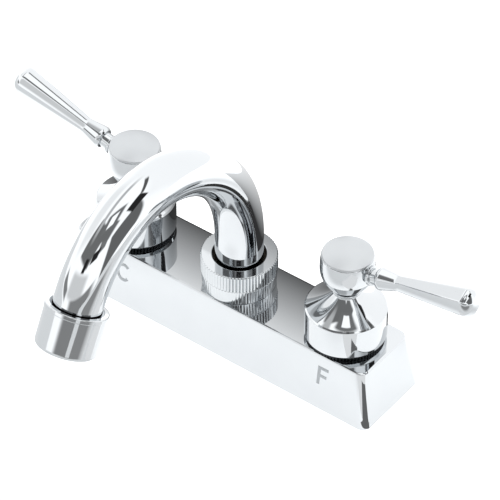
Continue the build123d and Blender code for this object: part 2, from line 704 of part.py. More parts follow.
def make_spout_tail():
    """Bush brazed into the tube's foot, with a flange and two ring grooves."""
    groove_r = TAIL_R - 2 * SEAL_WIRE_R + SEAL_GAP
    with BuildPart() as tail:
        turn(block(TAIL_R, TAIL_BOTTOM, TAIL_FLANGE_Z, TAIL_BORE_R))
        turn(block(THREAD_R - TAIL_FLANGE_GAP, TAIL_FLANGE_Z, TUBE_BOTTOM, TAIL_BORE_R))
        turn(block(TUBE_BORE_R, TUBE_BOTTOM, TUBE_BOTTOM + TAIL_SPIGOT, TAIL_BORE_R))
        for rise in TAIL_GROOVES:
            low = TAIL_BOTTOM + rise
            turn(block(TAIL_R, low, low + TAIL_GROOVE_WIDTH, groove_r), mode=Mode.SUBTRACT)
    save(tail, "spout_tail")


def make_spout_seals():
    """Two rubber rings in the tail's grooves."""
    center_r = SPOUT_BORE_R - SEAL_GAP - SEAL_WIRE_R
    center_z = TAIL_BOTTOM + TAIL_GROOVE_WIDTH / 2
    with BuildPart() as seals:
        with BuildSketch(Plane.XZ):
            with Locations(*[(center_r, center_z + rise) for rise in TAIL_GROOVES]):
                Circle(SEAL_WIRE_R)
        revolve(axis=Axis.Z)
    save(seals, "spout_seal_rings")


def make_glide_ring():
    """Plastic ring between the tail's flange and the top of the post."""
    with BuildPart() as ring:
        turn(block(THREAD_R - GLIDE_SIDE_GAP, POST_TOP + GLIDE_GAP, TAIL_FLANGE_Z, SPOUT_BORE_R))
    save(ring, "spout_glide_ring")


def make_spout_nut():
    """Collar with a knurled band above a smooth, slightly tapered foot."""
    core_r = NUT_KNURL_R - NUT_KNURL_DEPTH
    with BuildPart() as collar:
        turn(
            (
                (THREAD_R, BASE_HEIGHT),
                (NUT_SMOOTH_R - NUT_FOOT_TAPER, BASE_HEIGHT),
                (NUT_SMOOTH_R, NUT_KNURL_BOTTOM),
                (core_r, NUT_KNURL_BOTTOM),
                (core_r, NUT_TOP),
                (NUT_LIP_BORE_R, NUT_TOP),
                (NUT_LIP_BORE_R, NUT_LIP_Z),
                (THREAD_R, NUT_LIP_Z),
            )
        )
        with BuildSketch(Plane.XY.offset(NUT_KNURL_BOTTOM)):
            with BuildLine():
                Polyline(*star_points(NUT_KNURL_R, NUT_KNURL_DEPTH, NUT_KNURL_TEETH), close=True)
            make_face()
            Circle(THREAD_R, mode=Mode.SUBTRACT)
        extrude(amount=NUT_LIP_Z - NUT_KNURL_BOTTOM)
        with BuildSketch(Plane.XY.offset(NUT_LIP_Z)):
            with BuildLine():
                Polyline(*star_points(NUT_KNURL_R, NUT_KNURL_DEPTH, NUT_KNURL_TEETH), close=True)
            make_face()
            Circle(NUT_LIP_BORE_R, mode=Mode.SUBTRACT)
        extrude(amount=NUT_TOP - NUT_KNURL_BEVEL - NUT_LIP_Z)
    save(collar, "spout_nut")


def make_outlet_nipple():
    """Threaded bush brazed on the tube's outlet end."""
    with BuildPart() as nipple:
        turn(
            (
                (NIPPLE_BORE_R, -NIPPLE_SPIGOT),
                (TUBE_BORE_R, -NIPPLE_SPIGOT),
                (TUBE_BORE_R, TUBE_END),
                (TUBE_R, TUBE_END),
                (TUBE_R, NIPPLE_START),
                (NIPPLE_R, NIPPLE_START),
                (NIPPLE_R, NIPPLE_END),
                (NIPPLE_BORE_R, NIPPLE_END),
            ),
            outlet_plane(0),
        )
    save(nipple, "outlet_nipple")


def make_aerator_housing():
    """Short sleeve with a raised rim, a rounded foot and a lip that holds the insert."""
    plane = outlet_plane(0)
    with BuildPart() as housing:
        turn(
            (
                (NIPPLE_R, 0),
                (AERATOR_R + AERATOR_RIM_STEP, 0),
                (AERATOR_R + AERATOR_RIM_STEP, AERATOR_RIM),
                (AERATOR_R, AERATOR_RIM),
                (AERATOR_R, AERATOR_LENGTH),
                (OUTLET_R, AERATOR_LENGTH),
                (OUTLET_R, INSERT_BOTTOM),
                (NIPPLE_R, INSERT_BOTTOM),
            ),
            plane,
        )
        foot = housing.faces().sort_by(Axis(plane.origin, plane.z_dir))[-1].edges()
        fillet(foot.sort_by(SortBy.LENGTH)[-1], AERATOR_FOOT_R)
    save(housing, "aerator_housing")


def make_aerator_washer():
    """Rubber washer between the nipple and the insert."""
    outer_r = NIPPLE_R - INSERT_CLEARANCE
    with BuildPart() as washer:
        turn(block(outer_r, NIPPLE_END, INSERT_TOP, NIPPLE_BORE_R), outlet_plane(0))
    save(washer, "aerator_washer")


def make_aerator_insert():
    """Plastic cup with a plate of small holes."""
    outer_r = NIPPLE_R - INSERT_CLEARANCE
    plate_bottom = INSERT_TOP + INSERT_PLATE
    with BuildPart() as insert:
        turn(block(outer_r, INSERT_TOP, plate_bottom), outlet_plane(0))
        turn(block(outer_r, plate_bottom, INSERT_BOTTOM, outer_r - INSERT_WALL), outlet_plane(0))
        with BuildSketch(outlet_plane(INSERT_TOP)):
            Circle(INSERT_HOLE_R)
            for ring_r, count in zip(INSERT_RING_RADII, INSERT_RING_COUNTS):
                with PolarLocations(ring_r, count):
                    Circle(INSERT_HOLE_R)
        extrude(amount=INSERT_PLATE, mode=Mode.SUBTRACT)
    save(insert, "aerator_insert")


def main():
    """Make every piece."""
    make_base_cover()
    make_base_gasket()
    make_waterway_body()
    make_mounting_hardware()
    for side in SIDES:
        make_bonnet_ring(side)
        make_bonnet(side)
        make_cartridge_body(side)
        make_seat_gasket(side)
        make_disc(side, "fixed_disc", FIXED_DISC_Z, 0)
        make_disc(side, "moving_disc", MOVING_DISC_Z, 90)
        make_stem(side)
        make_stem_ring(side)
        make_hub(side)
        make_cap(side)
        make_screw(side)
        make_lever(side)
    make_spout_tube()
    make_spout_tail()
    make_spout_seals()
    make_glide_ring()
    make_spout_nut()
    make_outlet_nipple()
    make_aerator_housing()
    make_aerator_washer()
    make_aerator_insert()


main()
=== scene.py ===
"""Looks of a centerset bathroom faucet: polished chrome with two lever handles and a round spout.

The frame's X runs along the handles, the front is towards -Y and Z is up, with the deck at Z 0.
Sizes in the classes are in millimetres. A mesh is turned to metres when it is made.
"""

from dataclasses import dataclass
from enum import Enum
import logging
import math
from typing import Any, Optional, Protocol, Sequence

import bmesh
import bpy
from mathutils import Matrix, Vector
import numpy as np


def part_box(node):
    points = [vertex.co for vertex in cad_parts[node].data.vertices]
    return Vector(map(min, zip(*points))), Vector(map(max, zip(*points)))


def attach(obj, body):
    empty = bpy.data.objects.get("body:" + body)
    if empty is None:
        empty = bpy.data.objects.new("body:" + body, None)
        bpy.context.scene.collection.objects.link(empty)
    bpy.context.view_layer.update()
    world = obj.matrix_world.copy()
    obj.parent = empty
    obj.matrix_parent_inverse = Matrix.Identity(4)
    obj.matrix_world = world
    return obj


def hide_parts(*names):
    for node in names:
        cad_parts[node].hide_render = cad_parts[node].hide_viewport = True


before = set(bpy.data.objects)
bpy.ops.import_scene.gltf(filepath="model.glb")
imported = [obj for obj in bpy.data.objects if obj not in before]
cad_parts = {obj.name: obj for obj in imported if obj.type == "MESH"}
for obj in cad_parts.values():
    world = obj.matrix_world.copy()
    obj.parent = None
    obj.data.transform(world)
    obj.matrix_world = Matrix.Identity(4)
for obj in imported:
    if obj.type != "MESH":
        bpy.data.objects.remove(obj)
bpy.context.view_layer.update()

LOG = logging.getLogger("faucet")
MM = 0.001
PICTURE = 500.0  # Width of the photograph, in pixels
SMOOTH_ANGLE = math.radians(32.0)  # Edges sharper than this stay crisp
MERGE_DISTANCE = 1e-7  # Points nearer to each other than this, in metres, become one
LEAST_BEND = 1e-3  # Half the turn under which a corner counts as straight, in radians
SUPPORT = 0.04  # Flat run beside a rounded corner, in millimetres, which keeps flats flat
NOISE_SPAN = (0.3, 0.7)  # Most of a noise lies between these values
CLOUD_DETAIL = 3.0
RELIEF_DETAIL = 2.0
LEAST_AHEAD = 0.02  # A direction is in front of a panel from this cosine on
SIDES = 6  # Facets of a lever
LEVER_ROLLS = (31.0, 55.0)  # Turn of each lever about its own axis, left and right, in degrees

Array = np.ndarray
Point2 = tuple[float, float]
Point3 = tuple[float, float, float]
ONE_QUAD = np.array([[0, 1, 2, 3]])


class Side(Enum):
    """The two handles, by the sign of their place along X."""

    LEFT = -1
    RIGHT = 1

    @property
    def word(self) -> str:
        """Name used in the nodes."""
        return self.name.lower()

    @property
    def body(self) -> str:
        """Moving body of this handle."""
        return f"{self.word}_handle"


def linear(colour: str) -> tuple[float, float, float, float]:
    """Turn an sRGB hex value into a linear colour.

    Args:
        colour: Six hex digits, such as "E4E7E9".

    Returns:
        Red, green, blue and an alpha of 1.
    """
    parts = [int(colour[i:i + 2], 16) / 255 for i in (0, 2, 4)]
    red, green, blue = [p / 12.92 if p <= 0.04045 else ((p + 0.055) / 1.055) ** 2.4 for p in parts]
    return red, green, blue, 1.0


def add_node(
    tree: bpy.types.NodeTree,
    kind: str,
    *values: Any,
    inputs: Optional[dict[Any, Any]] = None,
    **settings: Any,
) -> bpy.types.Node:
    """Add a node with its settings, values and links.

    A value may also be a socket, or a node whose first output feeds the new one.

    Args:
        tree: Node tree that gets the node.
        kind: Blender's name of the node type, after "ShaderNode".
        values: Values of its first sockets, in order.
        inputs: Values of other sockets, by name or number.
        settings: Properties of the node and their values.

    Returns:
        The new node.
    """
    node = tree.nodes.new(f"ShaderNode{kind}")
    for name, value in settings.items():
        setattr(node, name, value)
    for name, value in (dict(enumerate(values)) | (inputs or {})).items():
        if isinstance(value, bpy.types.Node):
            value = value.outputs[0]
        if isinstance(value, bpy.types.NodeSocket):
            tree.links.new(value, node.inputs[name])
        else:
            node.inputs[name].default_value = value
    return node


def facing(azimuth: float, elevation: float) -> tuple[Vector, Vector, Vector]:
    """Turn two angles into a direction from the object and the two directions across it.

    Args:
        azimuth: Degrees round the object, 0 in front and 90 to the right.
        elevation: Degrees above the horizon.

    Returns:
        The direction, the level one across it and the upright one.
    """
    a, e = math.radians(azimuth), math.radians(elevation)
    out = Vector((math.sin(a) * math.cos(e), -math.cos(a) * math.cos(e), math.sin(e)))
    level = Vector((math.cos(a), math.sin(a), 0))
    return out, level, out.cross(level)


# Finishes


@dataclass(frozen=True)
class Finish:
    """A surface finish: colour, gloss and a fine relief, all on object coordinates.

    A soft noise moves the roughness between its two values and the colour between its two, and
    a second noise gives the relief.
    """

    name: str
    colour: str
    second_colour: str
    roughness: Point2
    metallic: float = 1.0
    cloud_mm: float = 3.0
    relief_mm: float = 0.4
    relief_height_mm: float = 0.01
    relief_strength: float = 0.4
    stretch: Point3 = (1.0, 1.0, 1.0)
    ior: float = 1.5

    def material(self) -> bpy.types.Material:
        """Give the finish's material, made once."""
        made = bpy.data.materials.get(self.name)
        if made is None:
            made = bpy.data.materials.new(self.name)
            made.use_nodes = True
            self.build(made.node_tree)
        return made

    def build(self, tree: bpy.types.NodeTree) -> None:
        """Lay out the nodes.

        Args:
            tree: Node tree of the material.
        """
        tree.nodes.clear()
        place = add_node(tree, "TexCoord").outputs["Object"]
        scaled = {"Vector": place, "Scale": self.stretch}
        mapping = add_node(tree, "Mapping", inputs=scaled)
        noises = []
        for size, detail in ((self.cloud_mm, CLOUD_DETAIL), (self.relief_mm, RELIEF_DETAIL)):
            noise = {"Vector": mapping, "Scale": 1 / (size * MM), "Detail": detail}
            noises.append(add_node(tree, "TexNoise", inputs=noise))
        cloud, grain = noises
        colours = {"Factor": cloud, 6: linear(self.colour), 7: linear(self.second_colour)}
        relief = {
            "Strength": self.relief_strength,
            "Distance": self.relief_height_mm * MM,
            "Height": grain,
        }
        surface = {
            "Base Color": add_node(tree, "Mix", inputs=colours, data_type="RGBA").outputs[2],
            "Metallic": self.metallic,
            "Roughness": add_node(tree, "MapRange", cloud, *NOISE_SPAN, *self.roughness),
            "Normal": add_node(tree, "Bump", inputs=relief),
        }
        if self.metallic == 0:
            surface["IOR"] = self.ior
        add_node(tree, "OutputMaterial", add_node(tree, "BsdfPrincipled", inputs=surface))


# Bright decorative chrome over polished zinc: mirror gloss with the faint waves of a buffing wheel
CAST_CHROME = Finish(
    "chrome_on_polished_zinc", "C8CBCD", "C2C5C8", (0.03, 0.055),
    cloud_mm=18.0, relief_mm=7.0, relief_height_mm=0.02, relief_strength=0.25,
)
# Bright chrome over drawn brass tube: the smoothest of all, with long waves along the tube
TUBE_CHROME = Finish(
    "chrome_on_brass_tube", "C9CCCE", "C4C7CA", (0.02, 0.04),
    cloud_mm=24.0, relief_mm=12.0, relief_height_mm=0.02, relief_strength=0.2,
)
# Chrome over a spun cap, buffed softer than the ball under it, so it reads as an even pale disc
CAP_CHROME = Finish(
    "chrome_on_spun_cap", "BBBEC0", "B6B9BC", (0.30, 0.36),
    cloud_mm=9.0, relief_mm=2.5, relief_height_mm=0.004, relief_strength=0.2,
)
# Chrome over a rolled knurl: bright tops, and grooves that the buffing wheel doesn't reach
KNURL_CHROME = Finish(
    "chrome_on_rolled_knurl", "C6C9CB", "BDC1C4", (0.05, 0.1),
    cloud_mm=6.0, relief_mm=1.0, relief_strength=0.3,
)
# Black nickel over a rolled knurl: a dark mirror, a little cloudy between the teeth
BLACK_NICKEL = Finish(
    "black_nickel_on_rolled_knurl", "34373A", "25282A", (0.12, 0.2),
    cloud_mm=4.0, relief_mm=0.6, relief_strength=0.3,
)
# Brass that has darkened under silicone grease: brown-black and half matt
GREASED_BRASS = Finish("greased_dark_brass", "2E2B26", "231F1A", (0.35, 0.5))
# Sand-cast brass as it leaves the mould and a tumbling barrel: dull yellow with a pebbled skin
CAST_BRASS = Finish(
    "sand_cast_brass", "B9985A", "9C7E45", (0.42, 0.6),
    cloud_mm=5.0, relief_mm=0.8, relief_height_mm=0.12, relief_strength=0.7,
)
# Turned brass bar: bright, with fine rings round the part
TURNED_BRASS = Finish(
    "turned_brass", "CDAE6B", "BD9C58", (0.2, 0.3),
    cloud_mm=4.0, relief_mm=0.3, relief_height_mm=0.02, relief_strength=0.5,
    stretch=(0.15, 0.15, 1.0),
)
# Zinc-plated sheet steel: pale blue-grey with soft spangle
ZINC_STEEL = Finish("zinc_plated_steel", "B4BABE", "9CA3A9", (0.28, 0.42), relief_mm=0.6)
# Cold-headed stainless steel
STAINLESS = Finish(
    "stainless_steel", "C6C8C9", "B4B7B9", (0.18, 0.28), cloud_mm=2.0, relief_mm=0.3
)
# Moulded nitrile rubber: near black, matt, with a faint bloom
RUBBER = Finish(
    "nitrile_rubber", "1B1C1D", "262829", (0.6, 0.75), metallic=0.0,
    relief_mm=0.3, relief_height_mm=0.03, relief_strength=0.5,
)
# Lapped alumina disc: dense white ceramic with a wet gloss
CERAMIC = Finish(
    "alumina_ceramic", "F1EFE9", "E9E6DE", (0.08, 0.14), metallic=0.0,
    cloud_mm=2.0, relief_mm=0.2, relief_height_mm=0.002, relief_strength=0.3, ior=1.76,
)
# Moulded acetal: milky white and slightly waxy
ACETAL = Finish(
    "moulded_acetal", "E8E7E2", "E0DFD9", (0.35, 0.45), metallic=0.0, relief_mm=0.5, ior=1.48
)
# Moulded grey ABS of the aerator's cartridge
GREY_ABS = Finish(
    "moulded_grey_abs", "8C9094", "7F8387", (0.4, 0.5),
    metallic=0.0, relief_height_mm=0.02, ior=1.54,
)
# Laser-etched chrome: the same metal, matt and pale grey
ETCHED_CHROME = Finish(
    "etched_chrome", "A9ADB0", "A1A5A8", (0.5, 0.6),
    cloud_mm=2.0, relief_mm=0.2, relief_strength=0.5,
)

SLOT_FINISHES = {
    "chrome_plate": CAST_CHROME,
    "chrome_cap": CAP_CHROME,
    "chrome_tube": TUBE_CHROME,
    "chrome_knurl": KNURL_CHROME,
    "rough_brass": CAST_BRASS,
    "turned_brass": TURNED_BRASS,
    "zinc_steel": ZINC_STEEL,
    "stainless_steel": STAINLESS,
    "black_rubber": RUBBER,
    "white_ceramic": CERAMIC,
    "white_plastic": ACETAL,
    "grey_plastic": GREY_ABS,
}
NODE_FINISHES = {"outlet_nipple": TUBE_CHROME, "spout_tail": GREASED_BRASS}


# Shapes


class Path(Protocol):
    """A line that a ring is carried along."""

    def at(self, along: Array) -> tuple[Array, Array, Array]:
        """Give places on the line and the two directions across it.

        Args:
            along: Distances along the line.

        Returns:
            Places, first directions across and second directions across, one row each.
        """


@dataclass(frozen=True)
class StraightPath:
    """A straight line from an origin, with the two directions across it."""

    origin: Point3 = (0.0, 0.0, 0.0)
    across: Point3 = (1.0, 0.0, 0.0)
    over: Point3 = (0.0, 1.0, 0.0)

    @property
    def lead(self) -> Array:
        """Direction of the line, the normal of the two directions across it."""
        return np.cross(self.across, self.over)

    def at(self, along: Array) -> tuple[Array, Array, Array]:
        """Give places on the line, origin plus distance times direction, and those across."""
        places = np.array(self.origin) + along[:, None] * self.lead
        ones = np.ones((len(along), 1))
        return places, ones * np.array(self.across), ones * np.array(self.over)


def round_corners(points: Sequence[Point2], radii: Sequence[float], steps: int = 5) -> Array:
    """Replace the corners of an open outline by arcs that meet its runs smoothly.

    An arc of radius r at a corner with half angle h starts r / tan(h) from it, and its middle lies
    r / sin(h) from it on the bisector. Points on the arc are a slerp between its two ends. A point
    just before and one just after the arc keep the shading of the flat runs flat.

    Args:
        points: Corners of the outline, first and last included.
        radii: Radius at each corner, 0 for a sharp one.
        steps: Spans of an arc.

    Returns:
        The outline's points, one row each.
    """
    corners = np.array(points, float)
    rows = [corners[:1]]
    for before, corner, after, radius in zip(corners, corners[1:], corners[2:], radii[1:]):
        back = before - corner
        ahead = after - corner
        back_length = np.linalg.norm(back)
        ahead_length = np.linalg.norm(ahead)
        back = back / back_length
        ahead = ahead / ahead_length
        half = math.acos(float(np.clip(back @ ahead, -1, 1))) / 2
        if radius <= 0 or math.pi / 2 - half < LEAST_BEND:
            rows.append(corner[None, :])
            continue
        cut = radius / math.tan(half)
        middle = corner + (back + ahead) / np.linalg.norm(back + ahead) * radius / math.sin(half)
        sweep = math.pi - 2 * half
        share = np.linspace(0, 1, steps + 1)[:, None]
        start = corner + back * cut - middle
        end = corner + ahead * cut - middle
        arc = (np.sin((1 - share) * sweep) * start + np.sin(share * sweep) * end) / math.sin(sweep)
        near = min(SUPPORT, (back_length - cut) / 3)
        far = min(SUPPORT, (ahead_length - cut) / 3)
        rows.append((corner + back * (cut + near))[None, :])
        rows.append(middle + arc)
        rows.append((corner + ahead * (cut + far))[None, :])
    rows.append(corners[-1:])
    return np.concatenate(rows)


def bow(start: Point2, end: Point2, sagitta: float, spans: int) -> Array:
    """Points of a shallow arc between two points.

    The offset from the chord is sagitta times 1 - u squared, with u from -1 to 1, which is the arc
    to within a hundredth of its depth.

    Args:
        start: First point.
        end: Last point.
        sagitta: Depth of the arc, positive to the left of the way from start to end.
        spans: Spans of the arc.

    Returns:
        The points, ends included.
    """
    first = np.array(start)
    chord = np.array(end) - first
    left = np.array((-chord[1], chord[0])) / np.linalg.norm(chord)
    share = np.linspace(0, 1, spans + 1)[:, None]
    return first + chord * share + left * sagitta * (1 - (2 * share - 1) ** 2)


def carry(
    outline: Array,
    path: Path,
    angle: Array,
    share: Array | float = 1.0,
    cut: Array | float = 0.0,
) -> Array:
    """Carry a ring along a path: each outline point is a ring of its radius at its distance.

    A point is the path's place plus r (cos a, sin a) across the path, where r is the outline's
    radius times share, less cut.

    Args:
        outline: Rows of (radius, distance along the path).
        path: Line that carries the rings.
        angle: Angles of the ring's points.
        share: Share of the radius at each ring and angle.
        cut: Depth taken off the radius at each ring and angle.

    Returns:
        Points as rings by points by 3.
    """
    places, across, over = path.at(outline[:, 1])
    radius = outline[:, :1] * share - cut
    cosine = (radius * np.cos(angle))[..., None]
    sine = (radius * np.sin(angle))[..., None]
    return places[:, None, :] + cosine * across[:, None, :] + sine * over[:, None, :]


def ring_angles(columns: int) -> Array:
    """Even angles round a ring."""
    return np.arange(columns) / columns * 2 * math.pi


def teeth(angle: Array, count: int, sharpness: float) -> Array:
    """Grooves round a ring, from 0 on the tops to 1 in the grooves.

    The value is (1 + cos(n a)) / 2 to a power, which leaves wide tops for a power above 1.

    Args:
        angle: Angles round the ring.
        count: Number of grooves.
        sharpness: Power that narrows the grooves.

    Returns:
        One value for each angle.
    """
    return ((1 + np.cos(count * angle)) / 2) ** sharpness


def add_mesh(name: str, points: Array, quads: Array) -> bpy.types.Object:
    """Make a mesh object from points in millimetres and four-sided faces.

    Points that coincide are merged, which closes poles and seams. Faces are turned outwards.

    Args:
        name: Name of the piece.
        points: Rows of (x, y, z) in millimetres.
        quads: Rows of four point numbers.

    Returns:
        The object, at the origin.
    """
    mesh = bpy.data.meshes.new(name)
    mesh.vertices.add(len(points))
    mesh.vertices.foreach_set("co", (points * MM).astype(np.float32).ravel())
    mesh.loops.add(quads.size)
    mesh.loops.foreach_set("vertex_index", quads.astype(np.int32).ravel())
    mesh.polygons.add(len(quads))
    mesh.polygons.foreach_set("loop_start", np.arange(0, quads.size, 4, dtype=np.int32))
    mesh.update(calc_edges=True)
    clean = bmesh.new()
    clean.from_mesh(mesh)
    bmesh.ops.remove_doubles(clean, verts=clean.verts, dist=MERGE_DISTANCE)
    bmesh.ops.recalc_face_normals(clean, faces=clean.faces)
    clean.to_mesh(mesh)
    clean.free()
    mesh.shade_smooth()
    mesh.set_sharp_from_angle(angle=SMOOTH_ANGLE)
    piece = bpy.data.objects.new(name, mesh)
    bpy.context.scene.collection.objects.link(piece)
    return piece


def grid_quads(rows: int, columns: int, closed: bool, ring: bool = True) -> Array:
    """Number the faces of a grid of rings.

    Args:
        rows: Rings.
        columns: Points on each ring.
        closed: Whether the last ring is joined to the first.
        ring: Whether the last point of a ring is joined to its first.

    Returns:
        Rows of four point numbers.
    """
    row = np.arange(rows if closed else rows - 1)[:, None]
    column = np.arange(columns if ring else columns - 1)[None, :]
    after = (row + 1) % rows
    beside = (column + 1) % columns
    corners = (row * columns + column, row * columns + beside, after * columns + beside)
    return np.stack((*corners, after * columns + column), -1).reshape(-1, 4)


def add_rings(name: str, grid: Array, closed: bool = True) -> bpy.types.Object:
    """Make a mesh object from a grid of rings.

    Args:
        name: Name of the piece.
        grid: Rings by points by 3, in millimetres.
        closed: Whether the last ring is joined to the first.

    Returns:
        The object.
    """
    rows, columns = grid.shape[:2]
    return add_mesh(name, grid.reshape(-1, 3), grid_quads(rows, columns, closed))


def box_of(node: str) -> tuple[Array, Array]:
    """Lowest and highest corner of a node, in millimetres."""
    low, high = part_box(node)
    return np.array(low) / MM, np.array(high) / MM


def dress(piece: bpy.types.Object, finish: Finish, body: str, slot: str, *nodes: str) -> None:
    """Give a new piece its finish, its body and the nodes that it stands for.

    Args:
        piece: The piece.
        finish: Its finish.
        body: Name of the body that it rides on.
        slot: Name of the record's material slot; not used.
        nodes: Names of the replaced nodes.
    """
    piece.data.materials.clear()
    piece.data.materials.append(finish.material())
    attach(piece, body)
    if nodes:
        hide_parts(*nodes)
    LOG.info("%s: %d faces, rides on %s", piece.name, len(piece.data.polygons), body)


@dataclass(frozen=True)
class Drill:
    """A cylinder that cuts a hole through a piece."""

    centre: Point3
    direction: Point3
    radius: float
    length: float
    columns: int = 96

    def cut(self, piece: bpy.types.Object) -> None:
        """Take the cylinder out of a piece.

        Args:
            piece: Piece that gets the hole.
        """
        lead = Vector(self.direction).normalized()
        across = lead.orthogonal().normalized()
        over = lead.cross(across)
        half = self.length / 2
        ends = np.array(((0, -half), (self.radius, -half), (self.radius, half), (0, half)))
        path = StraightPath(self.centre, tuple(across), tuple(over))
        cutter = add_rings("drill", carry(ends, path, ring_angles(self.columns)), closed=False)
        modifier = piece.modifiers.new("hole", "BOOLEAN")
        modifier.object = cutter
        modifier.operation = "DIFFERENCE"
        modifier.solver = "EXACT"
        bpy.context.view_layer.objects.active = piece
        bpy.ops.object.modifier_apply(modifier=modifier.name)
        bpy.data.objects.remove(cutter)
        piece.data.shade_smooth()
        piece.data.set_sharp_from_angle(angle=SMOOTH_ANGLE)


# Base


@dataclass
class Base:
    """The low cover on the deck, with the marks for hot and cold on its front."""

    wall: float = 2.2
    corner_r: float = 4.0
    edge_r: float = 0.7
    end_lean: float = 4.0
    side_lean: float = 3.45
    crown: float = 0.15
    foot_bevel: float = 0.3
    hole_r: float = 12.0
    arc_spans: int = 14
    end_spans: int = 12
    side_spans: int = 48
    top_rows: int = 12
    top_margin: float = 1.0
    crowned_arc_rows: int = 4
    valve_x: float = 50.8
    mark_height: float = 8.4
    mark_width: float = 4.8
    mark_stroke: float = 1.25
    bar_short: float = 0.6
    mark_thickness: float = 0.05
    mark_low_z: float = 11.4
    c_opening: float = 45.0
    c_points: int = 40
    cold_mark_x: float = 52.0
    hot_mark_width: float = 6.8
    hot_mark_x: float = -44.6

    def build(self) -> None:
        """Make the cover and the two marks."""
        dress(self.cover(), CAST_CHROME, "fixed_body", "chrome_plate", "base_cover")
        for name, place, strokes in (
            ("cold_mark", self.cold_mark_x, self.letter_f()),
            ("hot_mark", self.hot_mark_x, self.letter_c()),
        ):
            mark = self.mark(name, place, strokes)
            dress(mark, ETCHED_CHROME, "fixed_body", "chrome_plate")

    def columns(self) -> tuple[Array, Array, Array]:
        """Lay the points of a rounded rectangle: corner signs along X and Y, and the arc's angle.

        Each corner is an arc of a quarter turn, and the points between two corners keep one angle
        while a sign moves evenly from one corner to the next.

        Returns:
            Signs along X, signs along Y and angles.
        """
        signs_x: list[Array] = []
        signs_y: list[Array] = []
        angles: list[Array] = []
        corners = ((1, 1), (-1, 1), (-1, -1), (1, -1))
        for turn, (corner, after) in enumerate(zip(corners, corners[1:] + corners[:1])):
            arc = (turn + np.linspace(0, 1, self.arc_spans + 1)) * math.pi / 2
            signs_x.append(np.full(arc.shape, float(corner[0])))
            signs_y.append(np.full(arc.shape, float(corner[1])))
            angles.append(arc)
            spans = self.side_spans if turn % 2 == 0 else self.end_spans
            share = np.arange(1, spans) / spans
            signs_x.append(corner[0] + (after[0] - corner[0]) * share)
            signs_y.append(corner[1] + (after[1] - corner[1]) * share)
            angles.append(np.full(share.shape, arc[-1]))
        return np.concatenate(signs_x), np.concatenate(signs_y), np.concatenate(angles)

    def cover(self) -> bpy.types.Object:
        """Make the cover: rounded rectangles that shrink as they rise, outside and then inside.

        A ring's half length is the foot's, less the lean's share of its height, less its inset, and
        so is its half width. Over the top the height falls with the square of the distance from the
        middle line, which is the faint crown that polishing leaves.

        Returns:
            The cover, with a hole over each barrel and the post.
        """
        low, high = box_of("base_cover")
        half_length = (high[0] - low[0]) / 2
        half_width = (high[1] - low[1]) / 2
        height = high[2]
        top_half_width = half_width - self.side_lean
        ceiling = height - self.wall
        outside = round_corners(
            ((top_half_width, height), (0, height), (0, 0), (self.wall, 0)),
            (0, self.edge_r, self.foot_bevel, 0),
        )
        inwards = np.linspace(top_half_width, self.edge_r + self.top_margin, self.top_rows)
        top = np.stack((inwards, np.full(self.top_rows, height)), 1)
        inside = round_corners(
            ((self.wall, 0), (self.wall, ceiling), (top_half_width, ceiling)), (0, self.edge_r, 0)
        )
        rows = np.concatenate((top, outside[1:], inside[1:]))
        inset, rise = rows[:, :1], rows[:, 1:]
        sign_x, sign_y, angle = self.columns()
        half_x = half_length - self.end_lean * rise / height - inset
        half_y = np.maximum(half_width - self.side_lean * rise / height - inset, 0)
        radius = np.clip(self.corner_r - inset, 0, half_y)
        grid = np.empty((len(rows), len(angle), 3))
        grid[..., 0] = sign_x * (half_x - radius) + radius * np.cos(angle)
        grid[..., 1] = sign_y * (half_y - radius) + radius * np.sin(angle)
        over_top = np.zeros((len(rows), 1))
        over_top[: self.top_rows + self.crowned_arc_rows] = 1
        grid[..., 2] = rise - over_top * self.crown * (grid[..., 1] / top_half_width) ** 2
        piece = add_rings("cover", grid, closed=False)
        for place in (-self.valve_x, 0, self.valve_x):
            Drill((place, 0, height), (0, 0, 1), self.hole_r, 4 * self.wall).cut(piece)
        return piece

    def letter_f(self) -> list[Array]:
        """Strokes of the letter F, in the mark's own plane. They meet edge to edge on the stem."""
        edge = self.mark_stroke / 2
        half = self.mark_width / 2
        middle = self.mark_height / 2
        top = self.mark_height - edge
        heights = np.array((0, middle - edge, middle + edge, top - edge, top + edge))
        stem = np.stack((np.full(heights.shape, edge - half), heights), 1)
        start = 2 * edge - half
        arm = np.array(((start, top), (half, top)))
        bar = np.array(((start, middle), (half - self.bar_short, middle)))
        return [stem, arm, bar]

    def letter_c(self) -> list[Array]:
        """Stroke of the letter C: an ellipse's arc, open to the right."""
        edge = self.mark_stroke / 2
        angle = np.radians(np.linspace(self.c_opening, 360 - self.c_opening, self.c_points))
        across = (self.hot_mark_width / 2 - edge) * np.cos(angle)
        up = self.mark_height / 2 + (self.mark_height / 2 - edge) * np.sin(angle)
        return [np.stack((across, up), 1)]

